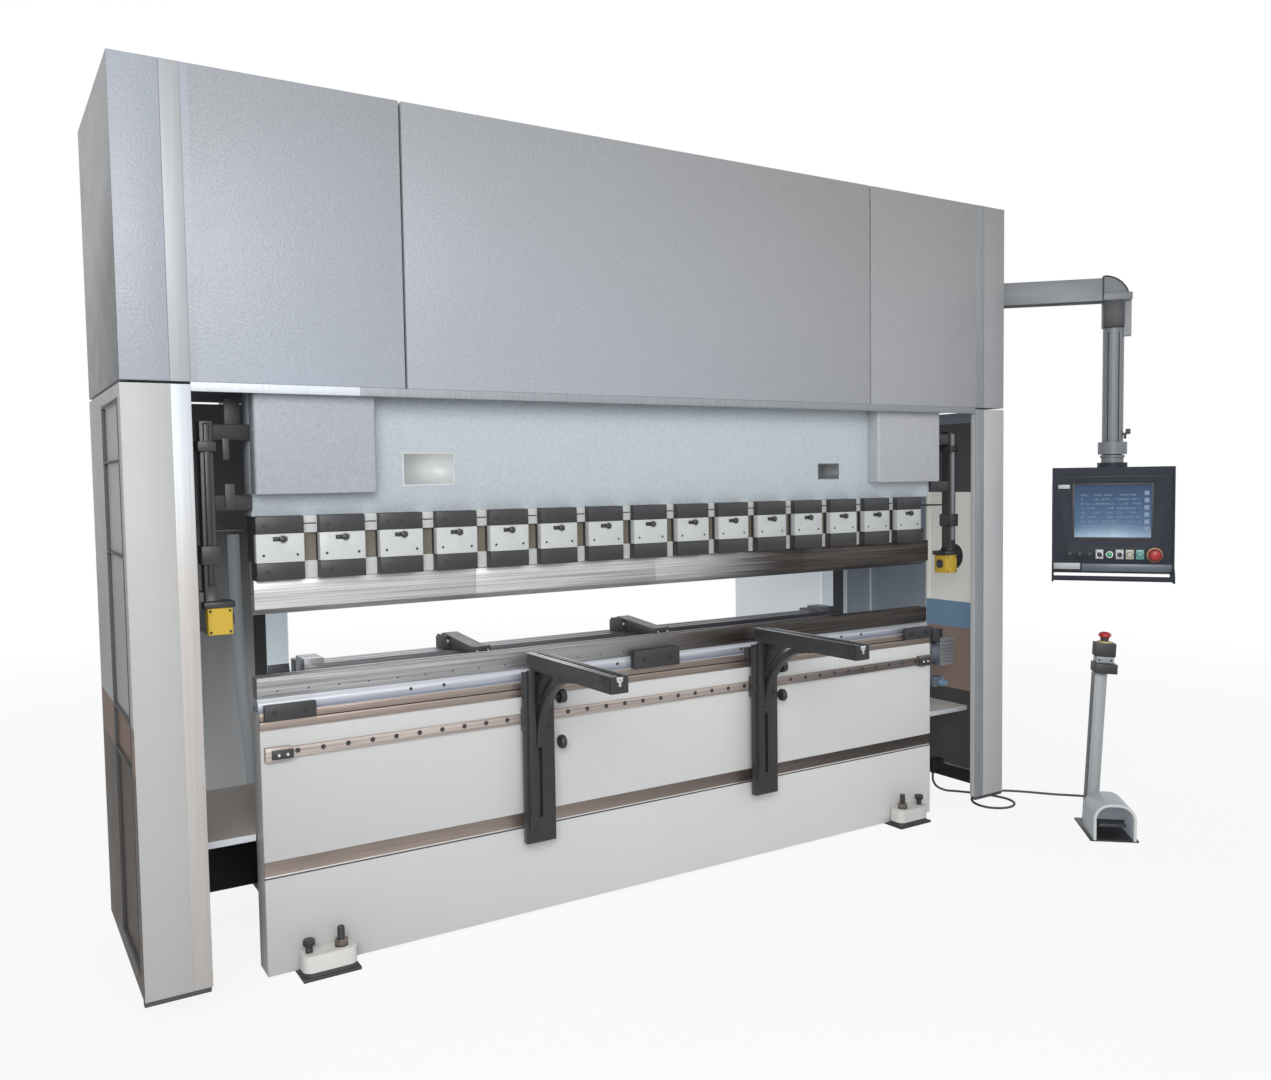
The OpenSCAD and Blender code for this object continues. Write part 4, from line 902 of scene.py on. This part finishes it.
EDGE = (0.34, 0.37, 0.39)
bends = ((-1445, 1420), (-1442, 1150), (-1432, 850), (-1418, 660), (-1406, 475))
bay_edge = ribbed_tube("bay_edge", smooth_line([at(x, 640, z) for x, z in bends], 0.02), 0.022, 0.0, 16)
only(bay_edge)
bpy.ops.object.shade_smooth_by_angle(angle=math.radians(40))
# Painted light: the bay edge glows a little, since it stands in shade.
edge_paint = enamel("bay_edge_enamel", EDGE).set(emission_color=EDGE).lit(glow=0.25)
fitted(bay_edge, "frame", edge_paint, "cover_white")

# %% [markdown]
# ## The sheet supports
# Two arms slide along the table and carry the sheet. Their tops have a T-slot lined with
# bright strips, painted highlights that are wider on the left arm, and a steel insert at
# the tip. The bracket has a slot with a bright clamp, two round bolts and a star knob at its side.

# %% Dress the sheet supports
SUPPORT_FACE = -114.3
support_black = finishes["support_black"]
# Painted light and shade: the left arm has wide bright strips and bright bolts, the right arm thin strips and dark
# bolts.
for body, x0, wide, bolt_z, knob_z, steel in (("left_support", -558, 3.5, 729, 642, bright),
                                              ("right_support", 491, 1.2, 640, 690, support_black)):
    rows = [((x0 + d - wide, -678, 980.6), (x0 + d + wide, -70, 981.8), 0.4) for d in (-27, -11)]
    rows += [((x0 - 12, -683, 962), (x0 + 12, -660, 978), 1.5), ((x0 - 5, -684, 948), (x0 + 5, -660, 964), 1.5),
             ((x0 - 6, -116, 640), (x0 + 6, -113, 690), 1), ((x0 + 27, -676, 981), (x0 + 31, -140, 982), 0.3)]
    fitted(blocks(body + "_inserts", rows), body, *BRIGHT)
    bolt = joined("bolt", [turned("washer", [(0, -0.5), (17, -0.5), (17, 2), (16, 3), (0, 3)], 28),
                           hexed("hexagon", 19, 2, 12)])
    places = [here(x0, SUPPORT_FACE, z, FRONT) for z in (bolt_z, 812)]
    fitted(copies(body + "_bolts", bolt, places), body, steel, "machined_steel")
    places = [here(x0 + d, SUPPORT_FACE, z, FRONT) for d in (-44, 44) for z in (712, 782)]
    fitted(copies(body + "_screws", cap_screw(5.5, 5), places), body, support_black, "support_black")
    star = turned("star", [(0, 0), (22, 0), (26, 5), (26, 18), (20, 23), (0, 24)], 16)
    for v in star.data.vertices:
        if v.co.xy.length > 0.018:
            v.co.xy *= 1 - 0.09 * (0.5 + 0.5 * math.cos(8 * math.atan2(v.co.y, v.co.x)))
    fitted(copies(body + "_star_knob", star, [here(x0 + 86, -101.3, knob_z, RIGHT)]), body, *PLASTIC)

# %% [markdown]
# ## The back gauge
# Two fingers stand on an aluminium beam behind the die. Each gets five fins, a white
# scale and two bright screws.

# %% Dress the gauge fingers
for body, x0 in (("left_finger", -690), ("right_finger", 110)):
    rows = [((x0 - 40 + 16 * i, 336, 998), (x0 - 34 + 16 * i, 430, 1006), 1) for i in range(5)]
    fitted(blocks(body + "_fins", rows), body, finishes["gauge_black"], "gauge_black")
    scale = blocks(body + "_scale", [((x0 - 38, 333.4, 982), (x0 + 38, 336, 992), 0.6)])
    fitted(scale, body, *WHITE)
    places = [here(x0 + d, 80, 980, FRONT) for d in (-22, 22)]
    fitted(copies(body + "_screws", cap_screw(4, 3), places), body, *BRIGHT)

# %% [markdown]
# ## The pendant
# The control hangs on a boom. A raised bezel frames the screen. Below it run a row of
# switches and a red stop button, then a tray with a pale lid. Seams cross its front, and
# vents line its sides. All of it is placed in the pendant's own axes and turned with it.

# %% Bezel, switches and stop button
FACE, ROW = -90, 1212


def on_pendant(x, y, z, turn=UP):
    return PENDANT @ Matrix.Translation(Vector((x, y, z)) / 1000) @ turn


def switches(numbers, out, turn):
    return [on_pendant(-187 + 44 * i, FACE - out, ROW, turn) for i in numbers]


rims = ((-177, 1285, -167, 1552), (167, 1285, 177, 1552), (-167, 1285, 167, 1295), (-167, 1542, 167, 1552))
rows = [((x0, FACE - 2.5, z0), (x1, FACE + 1, z1), 0.8) for x0, z0, x1, z1 in rims]
fitted(blocks("screen_bezel", rows, PENDANT), "pendant", *PLASTIC)
ring = turned("ring", [(17, -0.5), (17, 2), (15.5, 3.5), (12.5, 3.5), (12, 1), (12, -0.5)], 28)
fitted(copies("switch_rings", ring, switches((3, 4, 5), 5, FRONT)), "pendant", *BRIGHT)
green = enamel("green_cap", (0.06, 0.42, 0.20), 0.3)
ivory = enamel("ivory_cap", (0.62, 0.58, 0.48), 0.35)
teal = enamel("teal_cap", (0.16, 0.46, 0.43), 0.3)
for name, finish, spots in (("black_caps", PLASTIC[0], (0, 1, 2, 3, 5)), ("green_cap", green, (4,)),
                            ("ivory_cap", ivory, (6,)), ("teal_cap", teal, (7,))):
    cap = turned("cap", [(0, 4.5), (8, 4.5), (11, 3), (11.5, -0.5)], 24)
    fitted(copies(name, cap, switches(spots, 5, FRONT)), "pendant", finish, "console_black")
for name, finish, spots in (("switch_plates", plate, (3, 5)), ("ivory_plate", ivory, (6,)),
                            ("teal_plate", teal, (7,))):
    sign = block("sign", (-17, -1.2, -21), (17, 1, 24), 0.6)
    fitted(copies(name, sign, switches(spots, 0, UP)), "pendant", finish, "clamp_white")
red = enamel("stop_red", (0.48, 0.025, 0.022), 0.3)
yellow = enamel("stop_yellow", (0.72, 0.56, 0.24), 0.4)
mushroom = turned("stop", [(0, 18), (13, 17), (23, 14), (30, 9), (31, 4), (29, 0), (16, -2), (0, -2)], 40)
disc = turned("disc", [(0, 1.6), (32, 1.6), (34, 0), (34, -0.5), (0, -0.5)], 40)
for name, model, out, finish in (("pendant_stop", mushroom, 16, red), ("pendant_stop_ring", disc, 1.6, yellow)):
    places = [on_pendant(184, FACE - out, ROW, FRONT)]
    fitted(copies(name, model, places), "pendant", finish, "console_black")
rows = [((-262, FACE - 3, 1140), (-140, FACE + 2, 1170), 1.5),
        ((-240, FACE - 1, 1528), (-188, FACE + 1, 1546), 0.4)]
fitted(blocks("tray_lid", rows, PENDANT), "pendant", *WHITE)
tray = blocks("tray_front", [((-132, FACE - 3, 1131), (264, FACE + 2, 1168), 1.5)], PENDANT)
fitted(tray, "pendant", enamel("tray_plastic", (0.15, 0.18, 0.215), 0.3, clouds=0.3), "pendant_grey")
rows = [((s * 267.2 - 0.7, -70 + 16 * i, 1330), (s * 267.2 + 0.7, -62 + 16 * i, 1560), 0.5)
        for s in sides for i in range(7)]
rows += [((-266, FACE - 0.6, low), (266, FACE + 1, high), 0.3) for low, high in ((1582, 1585), (1243, 1245))]
fitted(blocks("pendant_vents", rows, PENDANT), "pendant", *PLASTIC)
places = [on_pendant(s * 256, FACE - 1, z, FRONT) for s in sides for z in (1262, 1410, 1570)]
blackened("pendant_screws", cap_screw(3, 1.5), places, "pendant")

# %% [markdown]
# ## The boom's joints
# The boom ends in an elbow with dark seams, and its tube has a clamp lever, a collar and
# a sleeve where the pendant turns.

# %% Rings and lever of the boom
ARM = Matrix.Translation(at(1990, 15, 2470)) @ Matrix.Rotation(math.radians(-45), 4, "Z")
ELBOW_R = 116
seams = []
for s in sides:
    bow = [Vector((525 + ELBOW_R * math.sin(a), s * 52, -54 + ELBOW_R * math.cos(a))) / 1000
           for a in (math.pi / 2 * i / 16 for i in range(17))]
    bow.insert(0, bow[0] - Vector((0, 0, ELBOW_R / 1000)))
    seams.append(ribbed_tube("bow", bow, 0.0035, 0.0, 8))
seams.append(block("under", (60, -40, -56), (524, 40, -53)))
fitted(moved(joined("boom_seams", seams), ARM), "boom", *PLASTIC)
panel = blocks("tube_panel", [((-47, -62, 2290), (44, -20, 2414), 4)], PENDANT)
fitted(panel, "boom", *PLASTIC)
collar = turned("collar", [(0, -4), (60, -4), (64, -1), (64, 5), (60, 8), (0, 8)], 48)
fitted(copies("tube_collar", collar, [on_pendant(0, 0, 1700)]), "boom", boom, "boom_paint")
sleeve = turned("sleeve", [(44, 0), (56, 0), (56, 8), (50, 12), (50, 70), (55, 74), (55, 84), (44, 84)], 40)
fitted(copies("neck_sleeve", sleeve, [on_pendant(0, 0, 1602)]), "pendant", boom, "pendant_grey")
rows = [((30, -8, -6), (62, 8, 6), 2), ((56, -7, -2), (78, 7, 24), 4), ((48, -7, -24), (60, 7, 4), 3)]
handle = blocks("handle", rows, UP)
fitted(copies("boom_lever", handle, [on_pendant(0, -20, 1786)]), "boom", *PLASTIC)
places = [here(1921, 15 + dy, 2470 + dz, RIGHT) for dy in (-52, 52) for dz in (-90, 90)]
blackened("boom_bolts", cap_screw(8, 8), places)

# %% [markdown]
# ## The foot console
# A hood guards the pedal, and its mouth has a pale edge. On the leaning post sits a head
# with a stop button on a yellow ring. Both ends of the cable go into ribbed glands.

# %% Hood edge, stop button and glands
CONSOLE = Matrix.Translation(at(1981, -665, 0)) @ Matrix.Rotation(math.radians(-42), 4, "Z")
post_at = CONSOLE @ Matrix.Translation((-0.050, 0.0753, 0.008)) @ Matrix.Rotation(math.radians(3), 4, "Y")
head_at = post_at @ Matrix.Translation((0, 0, 0.700))
HOOD_X, HOOD_Z, HOOD_R = 18, 96, 64
arch = [(-HOOD_X - HOOD_R, 8), (-HOOD_X - HOOD_R, HOOD_Z)]
arch += [(-HOOD_X - HOOD_R * math.cos(a), HOOD_Z + HOOD_R * math.sin(a))
         for a in (math.pi / 2 * i / 8 for i in range(1, 9))]
arch += [(-x_arch, z_arch) for x_arch, z_arch in reversed(arch)]
rim_line = [Vector((x_arch, -157, z_arch)) / 1000 for x_arch, z_arch in arch]
rim = ribbed_tube("hood_rim", rim_line, 0.0066, 0.0, 12)
fitted(moved(rim, CONSOLE), "frame", enamel("rim_enamel", (0.80, 0.80, 0.78), 0.35), "console_paint")
button = turned("stop", [(0, 46), (12, 45), (22, 41), (27, 34), (27, 27), (21, 22), (15, 19), (14, 0), (0, 0)], 36)
places = [head_at @ Matrix.Translation((0.012, 0, 0.135))]
fitted(copies("console_stop", button, places), "frame", red, "console_black")
skirt = turned("skirt", [(0, 0), (30, 0), (31, 2), (30, 6), (24, 8), (0, 8)], 36)
places = [head_at @ Matrix.Translation((0.012, 0, 0.1315))]
fitted(copies("console_stop_ring", skirt, places), "frame", yellow, "console_black")
# Painted shade and light: a dark sheet on the post's left side and a lighter strip on its front.
for name, row, place, colour, rough, slot in (
        ("post_side_shade", ((-27.4, -29, 4), (-25.6, 29, 690), 0.4), post_at, (0.15, 0.16, 0.17), 0.4, "console_black"),
        ("post_front_light", ((-14, -31.2, 4), (10, -29.6, 690), 0.4), post_at, (0.46, 0.48, 0.48), 0.4, "console_paint"),
        ("head_band", ((-23, -31, 43), (51, 31, 71), 1), head_at, (0.42, 0.45, 0.48), 0.35, "console_paint")):
    fitted(blocks(name, [row], place), "frame", enamel(name + "_enamel", colour, rough), slot)
places = [head_at @ Matrix.Translation((x_s / 1000, -0.0315, 0.057)) @ FRONT for x_s in (-12, 38)]
blackened("console_screws", cap_screw(4, 3), places)
gland = turned("gland", [(0, -2), (13, -2), (13, 6), (11, 8), (11, 14), (9.5, 16), (9.5, 22), (8, 25),
                         (6.3, 25)], 24)
start = cable_line[0]
way = cable_line[6] - start
turn = way.to_track_quat("Z", "Y").to_matrix().to_4x4()
places = [Matrix.Translation(start - way.normalized() * 0.006) @ turn,
          here(1820, 200, 117, Matrix.Rotation(math.pi, 4, "X"))]
fitted(copies("cable_glands", gland, places), "frame", *PLASTIC)

# %% [markdown]
# ## The back of the machine
# The oil tank stands behind the housing with its pump motor. It gets a filler cap and
# screws round its lid, as any such tank has.

# %% Tank fittings
TANK_TOP = 2352
filler = turned("filler", [(0, 0), (30, 0), (30, 8), (26, 10), (26, 34), (22, 40), (0, 41)], 32)
blackened("filler_cap", filler, [here(-500, 885, TANK_TOP)])
places = [here(x_s, y_s, TANK_TOP) for x_s in range(-1250, 1251, 250) for y_s in (705, 1075)]
fitted(copies("tank_screws", cap_screw(6, 6), places), "frame", *BRIGHT)

# %% [markdown]
# ## The end
# The last cell only imports json again.

# %% Finish
import json
